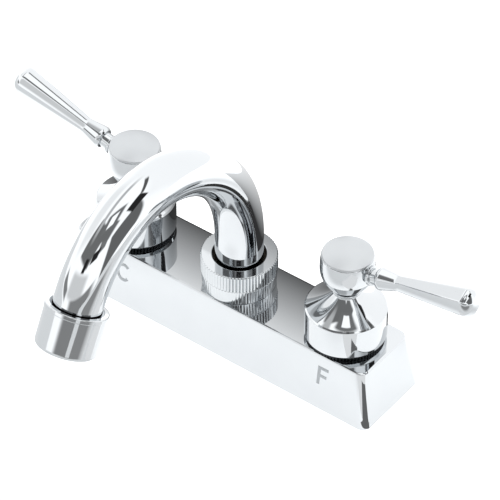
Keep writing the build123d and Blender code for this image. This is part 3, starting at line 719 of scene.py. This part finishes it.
    def mark(self, name: str, place: float, strokes: list[Array]) -> bpy.types.Object:
        """Make a letter of flat strokes on the leaning front.

        Each stroke is its line moved half a stroke's width to either side. A point of the mark's
        plane goes to the front face by X and by the distance up the slope.

        Args:
            name: Name of the piece.
            place: Middle of the letter along X.
            strokes: Lines of the strokes, in the mark's plane.

        Returns:
            The mark.
        """
        low, high = box_of("base_cover")
        slope = Vector((0, self.side_lean, high[2])).normalized()
        normal = np.array((0, -slope[2], slope[1]))
        foot_y = low[1] + self.side_lean * self.mark_low_z / high[2]
        foot = np.array((place, foot_y, self.mark_low_z))
        points: list[Array] = []
        quads: list[Array] = []
        for line in strokes:
            lead = np.gradient(line, axis=0)
            lead = lead / np.linalg.norm(lead, axis=1)[:, None]
            side = np.stack((-lead[:, 1], lead[:, 0]), 1) * self.mark_stroke / 2
            strip = np.stack((line + side, line - side), 1).reshape(-1, 2)
            start = sum(len(p) for p in points)
            quads.append(grid_quads(len(line), 2, False, False) + start)
            flat = foot + strip[:, :1] * np.array((1, 0, 0)) + strip[:, 1:] * np.array(slope)
            points.append(flat + normal * self.mark_thickness)
        piece = add_mesh(name, np.concatenate(points), np.concatenate(quads))
        piece.data.shade_flat()
        solid = piece.modifiers.new("thickness", "SOLIDIFY")
        solid.thickness = self.mark_thickness * MM
        solid.offset = 0
        return piece


# Valves and handles


@dataclass
class Valve:
    """What stands on the cover round one stem: the knurled ring and the bonnet."""

    side: Side
    columns: int = 160
    ring_teeth: int = 72
    per_tooth: int = 8
    tooth_depth: float = 0.45
    tooth_sharpness: float = 1.2
    tooth_band: float = 0.1
    ring_hub_r: float = 14.2
    ring_bore_r: float = 11.6
    ring_flange: float = 1.5
    foot_bevel: float = 1.0
    foot_step: float = 0.8
    rim_bevel: float = 0.6
    roof: float = 1.9
    bonnet_height: float = 14.0
    cone_height: float = 6.9
    cone_hollow: float = 0.5
    cone_spans: int = 24
    neck_r: float = 5.1
    neck_bore_r: float = 4.5
    neck_height: float = 0.9
    neck_ring_r: float = 5.8

    @property
    def path(self) -> StraightPath:
        """The stem's axis, from the deck up."""
        low, high = box_of(f"{self.side.word}_bonnet")
        return StraightPath(((low[0] + high[0]) / 2, 0, 0))

    def build(self) -> None:
        """Make the ring and the bonnet."""
        word = self.side.word
        dress(self.ring(), BLACK_NICKEL, "fixed_body", "chrome_knurl", f"{word}_bonnet_ring")
        dress(self.bonnet(), CAST_CHROME, "fixed_body", "chrome_plate", f"{word}_bonnet")

    def ring(self) -> bpy.types.Object:
        """Make the knurled ring with the hub that the bonnet sits on."""
        low, high = box_of(f"{self.side.word}_bonnet_ring")
        rim = (high[0] - low[0]) / 2
        top = low[2] + self.ring_flange
        outline = round_corners(
            (
                (self.ring_bore_r, low[2]),
                (rim, low[2]),
                (rim, top),
                (self.ring_hub_r, top),
                (self.ring_hub_r, high[2]),
                (self.ring_bore_r, high[2]),
                (self.ring_bore_r, low[2]),
            ),
            (0, 0.2, 0.2, 0, 0.3, 0.2, 0),
            steps=3,
        )[:-1]
        angle = ring_angles(self.ring_teeth * self.per_tooth)
        depth = np.where(outline[:, :1] > rim - self.tooth_band, self.tooth_depth, 0.0)
        cut = depth * teeth(angle, self.ring_teeth, self.tooth_sharpness)
        grid = carry(outline, self.path, angle, cut=cut)
        return add_rings(f"{self.side.word}_knurled_ring", grid)

    def bonnet(self) -> bpy.types.Object:
        """Make the short cylinder with its hollow-sided cone and ringed neck."""
        low, high = box_of(f"{self.side.word}_bonnet")
        wall_r = (high[0] - low[0]) / 2
        rim = low[2] + self.bonnet_height
        foot_r = wall_r - self.foot_step
        cone_top = rim + self.cone_height
        neck_ring = cone_top + self.neck_height
        start = (wall_r - self.rim_bevel, rim)
        cone = bow(start, (self.neck_r, cone_top), self.cone_hollow, self.cone_spans)
        head = [
            (self.neck_bore_r, rim - self.roof),
            (self.ring_hub_r, rim - self.roof),
            (self.ring_hub_r, low[2]),
            (foot_r, low[2]),
            (wall_r, low[2] + self.foot_bevel),
            (wall_r, rim - self.rim_bevel),
        ]
        tail = [
            (self.neck_r, neck_ring),
            (self.neck_ring_r, neck_ring),
            (self.neck_ring_r, high[2]),
            (self.neck_bore_r, high[2]),
            (self.neck_bore_r, rim - self.roof),
        ]
        smooth = (0,) * (self.cone_spans - 1)
        radii = (0, 0.2, 0, 0.1, 0.45, 0.3, 0.12, *smooth, 0.4, 0.12, 0.3, 0.3, 0.15, 0)
        outline = round_corners([*head, *cone, *tail], radii)[:-1]
        grid = carry(outline, self.path, ring_angles(self.columns))
        return add_rings(f"{self.side.word}_bonnet_shell", grid)


def tangent_arc(widest: Point2, end: Point2, spans: int) -> Array:
    """Points of the arc that leaves a point straight up or down and ends at another.

    Its centre is level with the first point, at a radius of (dr squared + dz squared) / (2 dr).

    Args:
        widest: First point, as (radius, height).
        end: Last point.
        spans: Spans of the arc.

    Returns:
        The points, ends included.
    """
    inward = widest[0] - end[0]
    rise = end[1] - widest[1]
    arc_r = (inward**2 + rise**2) / (2 * inward)
    angle = np.linspace(0, math.asin(rise / arc_r), spans + 1)
    return np.stack((widest[0] - arc_r * (1 - np.cos(angle)), widest[1] + arc_r * np.sin(angle)), 1)


@dataclass
class Handle:
    """One handle: the ball-shaped hub, its cap and its lever."""

    side: Side
    columns: int = 144
    ball_spans: int = 24
    shoulder_spans: int = 8
    dome_points: int = 20
    arc_steps: int = 4
    widest_rise: float = 10.2
    foot_r: float = 4.8
    top_step: float = 0.4
    bore_r: float = 4.05
    socket: float = 7.4
    web: float = 3.0
    screw_hole_r: float = 2.2
    pocket_r: float = 4.1
    recess_r: float = 7.0
    recess: float = 1.8
    cap_rim: float = 0.7
    cap_r: float = 9.9
    skirt_wall: float = 1.4
    lever_drop: float = 7.2
    tilt: float = 14.0
    neck_r: float = 3.1
    neck_start: float = 6.0
    collar: tuple[float, float, float] = (11.0, 12.4, 3.9)
    sections: tuple[Point2, ...] = ((4.1, 15.4), (4.75, 16.6), (3.35, 24.5), (5.9, 55.0))
    section_rounding: tuple[float, ...] = (0.4, 2.2, 7.0)
    tip_end: float = 59.31
    tip_power: float = 2.4
    tip_rows: int = 20
    facet_sharpness: float = 26.0
    flatness: tuple[tuple[float, ...], tuple[float, ...]] = (
        (15.0, 20.0, 26.0, 50.0, 56.0, 59.5),
        (0.3, 0.4, 0.7, 0.7, 0.5, 0.45),
    )
    facet_columns: int = 24
    corner_pull: float = 0.85
    roll: float = 0.0

    @property
    def stem(self) -> StraightPath:
        """The stem's axis, from the deck up."""
        low, high = box_of(f"{self.side.word}_handle_cap")
        return StraightPath((float(low[0] + high[0]) / 2, 0, 0))

    def build(self) -> None:
        """Make the hub, the cap and the lever."""
        word = self.side.word
        dress(self.hub(), CAST_CHROME, self.side.body, "chrome_plate", f"{word}_handle_hub")
        dress(self.cap(), CAP_CHROME, self.side.body, "chrome_cap", f"{word}_handle_cap")
        dress(self.lever(), CAST_CHROME, self.side.body, "chrome_plate", f"{word}_lever")

    def hub(self) -> bpy.types.Object:
        """Make the squat ball, hollow for the stem, the screw and the cap's skirt."""
        low, high = box_of(f"{self.side.word}_handle_hub")
        radius = high[1]
        foot = low[2]
        top = high[2]
        widest = (radius, foot + self.widest_rise)
        below = tangent_arc(widest, (self.foot_r, foot), self.ball_spans)[::-1]
        above = tangent_arc(widest, (radius - self.top_step, top), self.shoulder_spans)
        stem_top = foot + self.socket
        screw_seat = stem_top + self.web
        inner = (
            (self.recess_r, top),
            (self.recess_r, top - self.recess),
            (self.pocket_r, top - self.recess),
            (self.pocket_r, screw_seat),
            (self.screw_hole_r, screw_seat),
            (self.screw_hole_r, stem_top),
            (self.bore_r, stem_top),
            (self.bore_r, foot),
        )
        smooth = (0,) * (self.ball_spans + self.shoulder_spans - 1)
        radii = (0, 0.3, *smooth, 0.3, 0.2) + (0,) * (len(inner) - 1)
        points = [(self.bore_r, foot), *below, *above[1:], *inner]
        outline = round_corners(points, radii, self.arc_steps)[:-1]
        grid = carry(outline, self.stem, ring_angles(self.columns))
        piece = add_rings(f"{self.side.word}_hub", grid)
        axis = self.lever_path
        centre = np.array(axis.origin) + axis.lead * (self.neck_start + radius)
        Drill(tuple(centre), tuple(axis.lead), self.neck_r, 2 * radius).cut(piece)
        return piece

    def cap(self) -> bpy.types.Object:
        """Make the shallow dome with its rim and skirt. The dome is an arc over the rim."""
        low, high = box_of(f"{self.side.word}_handle_cap")
        seat = low[2] + self.recess
        rim = seat + self.cap_rim
        crown = high[2] - rim
        dome_r = (self.cap_r**2 + crown**2) / (2 * crown)
        reach = np.linspace(0, self.cap_r, self.dome_points)
        dome = np.stack((reach, high[2] - dome_r + np.sqrt(dome_r**2 - reach**2)), 1)
        skirt = self.recess_r
        points = (
            *dome,
            (self.cap_r, seat),
            (skirt, seat),
            (skirt, low[2]),
            (skirt - self.skirt_wall, low[2]),
            (skirt - self.skirt_wall, seat),
            (0, seat),
        )
        radii = (0,) * (self.dome_points - 1) + (0.3, 0.12, 0, 0.2, 0.2, 0, 0)
        outline = round_corners(points, radii, self.arc_steps)
        grid = carry(outline, self.stem, ring_angles(self.columns))
        return add_rings(f"{self.side.word}_cap", grid, closed=False)

    @property
    def lever_path(self) -> StraightPath:
        """The lever's axis, leaning up and outwards, and first across to the lever's top."""
        hub_top = box_of(f"{self.side.word}_handle_hub")[1][2]
        way = self.side.value
        run, rise = math.cos(math.radians(self.tilt)), math.sin(math.radians(self.tilt))
        origin = (self.stem.origin[0], 0, hub_top - self.lever_drop)
        return StraightPath(origin, (-way * rise, 0, run), (0, -way, 0))

    def lever(self) -> bpy.types.Object:
        """Make the lever: a round neck with a ring, then a six-sided bar with a domed tip.

        The bar's radius at an angle is its corner radius times 1 - w (1 - h). Here h is cos 30 over
        the p-norm of the positive cosines to the six facets, which is a hexagon with softened
        corners, and w is the facets' flatness there, from 0, round, to 1, flat. The tip's corner
        radius is the last section's times the root of 1 - t to a power, with t from 0 to 1.

        Returns:
            The lever.
        """
        start, end, collar_r = self.collar
        neck = round_corners(
            (
                (0, self.neck_start),
                (self.neck_r, self.neck_start),
                (self.neck_r, start),
                (collar_r, start),
                (collar_r, end),
                (self.neck_r, end),
                (self.neck_r, self.sections[0][1]),
            ),
            (0, 0.2, 0.1, 0.35, 0.35, 0.1, 0),
        )
        bar = round_corners(
            ((self.neck_r, self.sections[0][1]), *self.sections),
            (0, *self.section_rounding, 0),
            steps=10,
        )[1:]
        wide, tip_start = self.sections[-1]
        share = np.sin(np.linspace(0, math.pi / 2, self.tip_rows + 1)[1:])
        dome = wide * np.sqrt(np.clip(1 - share**self.tip_power, 0, 1))
        tip = np.stack((dome, tip_start + (self.tip_end - tip_start) * share), 1)
        angle = self.facet_angles()
        facets = self.vertex + (np.arange(SIDES) + 0.5) * 2 * math.pi / SIDES
        cosines = np.clip(np.cos(angle[:, None] - facets), 0, 1)
        norm = (cosines**self.facet_sharpness).sum(1) ** (1 / self.facet_sharpness)
        hexagon = math.cos(math.pi / SIDES) / norm
        outline = np.concatenate((neck, bar, tip))
        flat = np.interp(outline[:, 1], *self.flatness)
        flat[: len(neck)] = 0
        shape = 1 - flat[:, None] * (1 - hexagon)
        grid = carry(outline, self.lever_path, angle, share=shape)
        return add_rings(f"{self.side.word}_lever_bar", grid, closed=False)

    @property
    def vertex(self) -> float:
        """Angle of a corner of the bar, from the lever's top towards the front."""
        return math.radians(self.roll) * self.side.value

    def facet_angles(self) -> Array:
        """Angles round the bar, closer together at its corners.

        Within a facet the angle goes as v - k sin(2 pi v) / (2 pi), with v from 0 to 1 and k the
        pull to the corners.

        Returns:
            The angles.
        """
        share = np.arange(self.facet_columns) / self.facet_columns
        inner = share - self.corner_pull * np.sin(2 * math.pi * share) / (2 * math.pi)
        turns = (np.arange(SIDES)[:, None] + inner) / SIDES
        return (self.vertex + turns * 2 * math.pi).ravel()


# Spout


@dataclass(frozen=True)
class SpoutPath:
    """The middle line of the spout: up, over in two arcs and out, in the plane X 0.

    The heading t is the angle from straight up towards the front. Along a straight run the place
    moves by (sin t, cos t) times the distance. Along an arc of radius r that starts at heading t0
    it moves forward by r (cos t0 - cos t) and up by r (sin t - sin t0).
    """

    start_z: float
    riser: float = 12.0
    arc_1_r: float = 62.0
    arc_1_angle: float = 72.3
    arc_2_r: float = 43.2
    arc_2_angle: float = 81.2
    straight: float = 3.2

    @property
    def arcs(self) -> tuple[float, float]:
        """Lengths of the two arcs."""
        first = self.arc_1_r * math.radians(self.arc_1_angle)
        return first, self.arc_2_r * math.radians(self.arc_2_angle)

    @property
    def length(self) -> float:
        """Length down to the top of the aerator's rim."""
        return self.riser + sum(self.arcs) + self.straight

    def at(self, along: Array) -> tuple[Array, Array, Array]:
        """Give places on the line and the two directions across it.

        Args:
            along: Distances from the tube's lower end.

        Returns:
            Places, sideways directions and directions to the outside of the bend.
        """
        first, second = self.arcs
        on_riser = np.minimum(along, self.riser)
        on_first = np.clip(along - self.riser, 0, first)
        on_second = np.clip(along - self.riser - first, 0, second)
        beyond = np.maximum(along - self.riser - first - second, 0)
        turn_1 = on_first / self.arc_1_r
        middle = math.radians(self.arc_1_angle)
        turn_2 = middle + on_second / self.arc_2_r
        last = middle + math.radians(self.arc_2_angle)
        forward = (
            self.arc_1_r * (1 - np.cos(turn_1))
            + self.arc_2_r * (math.cos(middle) - np.cos(turn_2))
            + beyond * math.sin(last)
        )
        up = (
            self.start_z
            + on_riser
            + self.arc_1_r * np.sin(turn_1)
            + self.arc_2_r * (np.sin(turn_2) - math.sin(middle))
            + beyond * math.cos(last)
        )
        heading = turn_1 + on_second / self.arc_2_r
        zero = np.zeros_like(along)
        places = np.stack((zero, -forward, up), 1)
        sideways = np.stack((zero + 1, zero, zero), 1)
        outside = np.stack((zero, np.cos(heading), np.sin(heading)), 1)
        return places, sideways, outside


@dataclass
class Spout:
    """The swing spout: the nut on the cover, the tube and the aerator's sleeve."""

    tube_wall: float = 1.2
    tube_end: float = 3.2
    row_spacing: float = 1.25
    columns: int = 128
    nut_bore_r: float = 11.6
    nut_foot_r: float = 14.5
    nut_smooth_r: float = 14.85
    nut_foot_height: float = 6.4
    nut_lip: float = 2.9
    nut_lip_bore_r: float = 10.5
    knurl_teeth: int = 70
    knurl_per_tooth: int = 8
    knurl_depth: float = 0.45
    knurl_sharpness: float = 2.2
    nut_edge: float = 0.5
    knurl_foot: Point2 = (0.25, 0.35)
    aerator_r: float = 11.95
    aerator_length: float = 17.0
    rim_width: float = 1.7
    rim_step: float = 0.2
    rim_slope: float = 0.1
    foot_r: float = 1.5
    socket_r: float = 10.4
    outlet_r: float = 8.8
    outlet_lip: float = 1.2

    def build(self) -> None:
        """Make the nut, the tube and the sleeve."""
        dress(self.nut(), KNURL_CHROME, "fixed_body", "chrome_knurl", "spout_nut")
        dress(self.tube(), TUBE_CHROME, "spout", "chrome_tube", "spout_tube")
        dress(self.sleeve(), CAST_CHROME, "spout", "chrome_plate", "aerator_housing")

    @property
    def path(self) -> SpoutPath:
        """The tube's middle line."""
        return SpoutPath(float(box_of("spout_tube")[0][2]))

    def tube(self) -> bpy.types.Object:
        """Make the tube: its outer wall along the line and its bore back again."""
        outer = float(box_of("spout_tube")[1][0])
        length = self.path.length + self.tube_end
        along = np.linspace(0, length, int(length / self.row_spacing))
        outside = np.stack((np.full(along.shape, outer), along), 1)
        inside = np.stack((np.full(along.shape, outer - self.tube_wall), along[::-1]), 1)
        outline = np.concatenate((outside, inside))
        return add_rings("tube", carry(outline, self.path, ring_angles(self.columns)))

    def nut(self) -> bpy.types.Object:
        """Make the collar with its knurled band over a smooth foot."""
        low, high = box_of("spout_nut")
        rim = high[0]
        band = low[2] + self.nut_foot_height
        lip = high[2] - self.nut_lip
        points = (
            (self.nut_bore_r, low[2]),
            (self.nut_foot_r, low[2]),
            (self.nut_smooth_r, band - self.knurl_foot[0]),
            (rim - self.knurl_depth, band),
            (rim, band + self.knurl_foot[1]),
            (rim, high[2] - self.nut_edge),
            (rim - self.nut_edge, high[2]),
            (self.nut_lip_bore_r, high[2]),
            (self.nut_lip_bore_r, lip),
            (self.nut_bore_r, lip),
            (self.nut_bore_r, low[2]),
        )
        radii = (0, 0.2, 0.15, 0.08, 0.1, 0.15, 0.2, 0.4, 0, 0, 0)
        outline = round_corners(points, radii, steps=4)[:-1]
        angle = ring_angles(self.knurl_teeth * self.knurl_per_tooth)
        reach = np.clip((outline[:, :1] - rim + self.knurl_depth) / self.knurl_depth, 0, 1)
        cut = self.knurl_depth * reach * teeth(angle, self.knurl_teeth, self.knurl_sharpness)
        return add_rings("collar_nut", carry(outline, StraightPath(), angle, cut=cut))

    def sleeve(self) -> bpy.types.Object:
        """Make the aerator's sleeve at the line's end: raised rim, straight wall, rounded foot."""
        wide = self.aerator_r + self.rim_step
        inner = self.aerator_length - self.outlet_lip
        points = (
            (self.socket_r, 0),
            (wide, 0),
            (wide, self.rim_width),
            (self.aerator_r, self.rim_width + self.rim_slope),
            (self.aerator_r, self.aerator_length),
            (self.outlet_r, self.aerator_length),
            (self.outlet_r, inner),
            (self.socket_r, inner),
            (self.socket_r, 0),
        )
        radii = (0, 0.35, 0.2, 0.1, self.foot_r, 0.4, 0.2, 0, 0)
        outline = round_corners(points, radii, steps=7)[:-1]
        outline[:, 1] += self.path.length
        return add_rings("aerator_sleeve", carry(outline, self.path, ring_angles(self.columns)))


# Carried-over nodes


def dress_nodes() -> None:
    """Give every node its slot's finish, or its own where one is named for it."""
    for name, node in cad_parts.items():
        for socket in node.material_slots:
            finish = NODE_FINISHES.get(name) or SLOT_FINISHES[socket.material.name.split(".")[0]]
            socket.material = finish.material()
        LOG.info("%s: node dressed", name)


# Studio


@dataclass(frozen=True)
class Panel:
    """A soft-edged patch of the studio's surroundings: a diffuser or a black flag.

    Args:
        azimuth: Direction of its middle round the object, 0 in front and 90 to the right.
        elevation: Its middle above the horizon.
        width: Angle across.
        height: Angle from foot to top.
        level: Brightness.
        soft: Share of its half size over which it fades.
    """

    azimuth: float
    elevation: float
    width: float
    height: float
    level: float
    soft: float

    def mask(self, tree: bpy.types.NodeTree, direction: bpy.types.NodeSocket) -> bpy.types.Node:
        """Add the nodes of the panel's mask.

        The mask is a smooth step of the direction's sideways and upright tangents, each against
        the panel's half size, times whether it is in front of the panel.

        Args:
            tree: Node tree of the world.
            direction: Socket with the direction looked at.

        Returns:
            The node that gives 1 on the panel and 0 off it.
        """
        axes = [tuple(axis) for axis in facing(self.azimuth, self.elevation)]
        dots = [add_node(tree, "VectorMath", direction, a, operation="DOT_PRODUCT") for a in axes]
        ahead, sideways, upright = (dot.outputs["Value"] for dot in dots)
        depth = add_node(tree, "Math", ahead, LEAST_AHEAD, operation="MAXIMUM")
        mask = add_node(tree, "Math", ahead, LEAST_AHEAD, operation="GREATER_THAN")
        for share, size in ((sideways, self.width), (upright, self.height)):
            ratio = add_node(tree, "Math", share, depth, operation="DIVIDE")
            tangent = add_node(tree, "Math", ratio, operation="ABSOLUTE")
            half = math.tan(math.radians(size / 2))
            span = (half * (1 - self.soft), half * (1 + self.soft), 1.0, 0.0)
            edge = add_node(tree, "MapRange", tangent, *span, interpolation_type="SMOOTHSTEP")
            mask = add_node(tree, "Math", mask, edge, operation="MULTIPLY")
        return mask


@dataclass(frozen=True)
class Card:
    """A matt card beside the object, which shows only in reflections.

    Args:
        name: Name of the card.
        corners: Its corners in millimetres, in order round it.
        level: Brightness, in its middle if it has an edge level.
        edge_level: Brightness at its edge.
        middle: Point from which the brightness changes.
        shape: Weights of X, Y and Z in the distance from that point.
        fade: Distances at which the change starts and ends.
    """

    name: str
    corners: tuple[Point3, Point3, Point3, Point3]
    level: float
    edge_level: Optional[float] = None
    middle: Point3 = (0.0, 0.0, 0.0)
    shape: Point3 = (1.0, 1.0, 1.0)
    fade: Point2 = (0.0, 1.0)

    def stand(self) -> None:
        """Make the card. Its brightness changes evenly with the distance from its middle."""
        piece = add_mesh(self.name, np.array(self.corners, float), ONE_QUAD)
        material = bpy.data.materials.new(f"matt_{self.name}")
        material.use_nodes = True
        tree = material.node_tree
        tree.nodes.clear()
        place = add_node(tree, "TexCoord").outputs["Object"]
        middle, (start, end) = (tuple(v * MM for v in group) for group in (self.middle, self.fade))
        apart = add_node(tree, "VectorMath", place, middle, operation="SUBTRACT")
        scaled = add_node(tree, "VectorMath", apart, self.shape, operation="MULTIPLY")
        reach = add_node(tree, "VectorMath", scaled, operation="LENGTH").outputs["Value"]
        far_level = self.level if self.edge_level is None else self.edge_level
        level = add_node(tree, "MapRange", reach, start, end, self.level, far_level)
        glow = add_node(tree, "Emission", inputs={"Strength": level})
        add_node(tree, "OutputMaterial", glow)
        piece.data.materials.append(material)
        piece.visible_camera = False
        piece.visible_diffuse = False
        piece.visible_shadow = False


@dataclass
class Studio:
    """The camera, the pale floor, the soft surroundings and the reflection cards.

    The floor's places and sizes and the camera's clips are in metres, its shifts in millimetres.
    """

    azimuth: float = 36.9
    elevation: float = 42.2
    distance: float = 1356.0
    roll: float = 0.3
    shift_right: float = 4.27
    shift_up: float = 29.8
    focal_pixels: float = 3457.8
    sensor: float = 36.0
    clips: Point2 = (0.05, 50.0)
    floor_size: float = 12.0
    floor_drop: float = 0.0002
    floor_level: float = 0.55
    pool_level: float = 1.12
    pool_shape: Point3 = (0.4, 1.0, 0.0)
    pool_fade: Point2 = (0.045, 0.085)
    rear_level: float = 1.3
    rear_fade: Point2 = (0.05, 0.12)
    sky: float = 1.75
    panels: tuple[Panel, ...] = (
        Panel(180, 22, 104, 76, 1.58, 0.3),
        Panel(-88, 36, 50, 30, 1.4, 0.4),
        Panel(-13, 54, 50, 34, 0.24, 0.12),
        Panel(49, 50, 16, 20, 0.28, 0.2),
        Panel(16, 65, 60, 19, 0.24, 0.15),
        Panel(37, 76, 30, 22, 0.26, 0.2),
        Panel(37, 75, 13, 14, 1.75, 0.12),
        Panel(-85, 68, 56, 10, 0.75, 0.4),
        Panel(2, 19, 62, 22, 1.0, 0.3),
        Panel(28, 4, 72, 12, 0.36, 0.3),
        Panel(4, 37, 12, 12, 0.03, 0.2),
        Panel(34, 42, 18, 10, 0.03, 0.2),
        Panel(93, 22, 36, 44, 0.2, 0.1),
        Panel(160, 61, 34, 5, 0.15, 0.3),
        Panel(113, 51.5, 18, 21, 0.03, 0.12),
        Panel(-48, 6, 30, 9, 0.35, 0.3),
    )
    cards: tuple[Card, ...] = (
        Card(
            "rear_flag",
            ((-108, 24, 24), (34, 24, 24), (34, 24, 75), (-108, 24, 75)),
            0.05,
            1.2,
            middle=(0, 0, 24),
            shape=(0, 0, 1),
            fade=(5.5, 52),
        ),
        Card(
            "dark_ground",
            ((-128, -420, 0.1), (480, -1028, 0.1), (1088, -420, 0.1), (480, 188, 0.1)),
            0.39,
            1.08,
            middle=(480, -420, 0),
            shape=(1, 1, 0),
            fade=(330, 430),
        ),
        Card("end_flag", ((79, -25.5, 0), (79, -14, 0), (79, -16, 16.5), (79, -25.5, 16.5)), 0.2),
        Card(
            "end_flag_foot",
            ((74.2, -25.5, 0.1), (79, -25.5, 0.1), (79, -13, 0.1), (74.2, -15, 0.1)),
            0.2,
        ),
        Card(
            "rear_ground", ((-60, 22, 0.1), (62, 22, 0.1), (62, 75, 0.1), (-60, 75, 0.1)), 0.05
        ),
        Card(
            "right_ground",
            ((74, -85, 0.1), (150, -85, 0.1), (150, -26, 0.1), (80, -26, 0.1)),
            1.2,
        ),
    )

    def build(self) -> None:
        """Make the camera, the floor, the surroundings and the cards."""
        self.camera()
        self.floor()
        self.surroundings()
        for card in self.cards:
            card.stand()

    def camera(self) -> None:
        """Place the camera as it stood for the photograph."""
        back, level, upright = facing(self.azimuth, self.elevation)
        roll = math.radians(self.roll)
        right = level * math.cos(roll) + upright * math.sin(roll)
        up = upright * math.cos(roll) - level * math.sin(roll)
        place = (back * self.distance + right * self.shift_right + up * self.shift_up) * MM
        data = bpy.data.cameras.new("camera")
        data.sensor_width = self.sensor
        data.lens = self.focal_pixels / PICTURE * self.sensor
        data.clip_start, data.clip_end = self.clips
        camera = bpy.data.objects.new("camera", data)
        bpy.context.scene.collection.objects.link(camera)
        turn = Matrix((right, up, back)).transposed().to_4x4()
        camera.matrix_world = Matrix.Translation(place) @ turn
        bpy.context.scene.camera = camera

    def floor(self) -> None:
        """Lay the pale floor, just under the deck's plane.

        It glows in a soft pool round the base and more strongly behind the object, so it stays
        white in the picture while the chrome mirrors grey in front.
        """
        half = self.floor_size / 2 / MM
        reach = (half, half, self.floor_drop / MM)
        corners = np.array(((-1, -1, -1), (1, -1, -1), (1, 1, -1), (-1, 1, -1))) * reach
        plane = add_mesh("floor", corners, ONE_QUAD)
        material = bpy.data.materials.new("white_paper_floor")
        material.use_nodes = True
        tree = material.node_tree
        tree.nodes.clear()
        place = add_node(tree, "TexCoord").outputs["Object"]
        scaled = add_node(tree, "VectorMath", place, self.pool_shape, operation="MULTIPLY")
        level: Any = add_node(tree, "VectorMath", scaled, operation="LENGTH").outputs["Value"]
        behind = add_node(tree, "SeparateXYZ", place).outputs["Y"]
        smooth = {"interpolation_type": "SMOOTHSTEP"}
        pool = (level, *self.pool_fade, self.pool_level, self.floor_level)
        level = add_node(tree, "MapRange", *pool, **smooth)
        rear = (behind, *self.rear_fade, level, self.rear_level)
        paper = {
            "Base Color": linear("B8BABB"),
            "Roughness": 0.9,
            "Specular IOR Level": 0.1,
            "Emission Color": linear("FFFFFF"),
            "Emission Strength": add_node(tree, "MapRange", *rear, **smooth),
        }
        add_node(tree, "OutputMaterial", add_node(tree, "BsdfPrincipled", inputs=paper))
        plane.data.materials.append(material)

    def surroundings(self) -> None:
        """Light the world: a pale dome with soft-edged panels laid over it."""
        world = bpy.data.worlds.new("studio")
        world.use_nodes = True
        bpy.context.scene.world = world
        tree = world.node_tree
        tree.nodes.clear()
        direction = add_node(tree, "TexCoord").outputs["Generated"]
        level: float | bpy.types.Node = self.sky
        for panel in self.panels:
            layer = {"Factor": panel.mask(tree, direction), 2: level, 3: panel.level}
            level = add_node(tree, "Mix", inputs=layer, data_type="FLOAT", clamp_factor=True)
        add_node(tree, "OutputWorld", add_node(tree, "Background", level, 1.0))
        bpy.context.scene.view_settings.view_transform = "Standard"


def main() -> None:
    """Build the sub-assemblies in order, then the studio."""
    logging.basicConfig(level=logging.INFO, format="%(name)s %(message)s")
    dress_nodes()
    Base().build()
    for side, roll in zip(Side, LEVER_ROLLS):
        Valve(side).build()
        Handle(side, roll=roll).build()
    Spout().build()
    Studio().build()


if __name__ == "__main__":
    main()
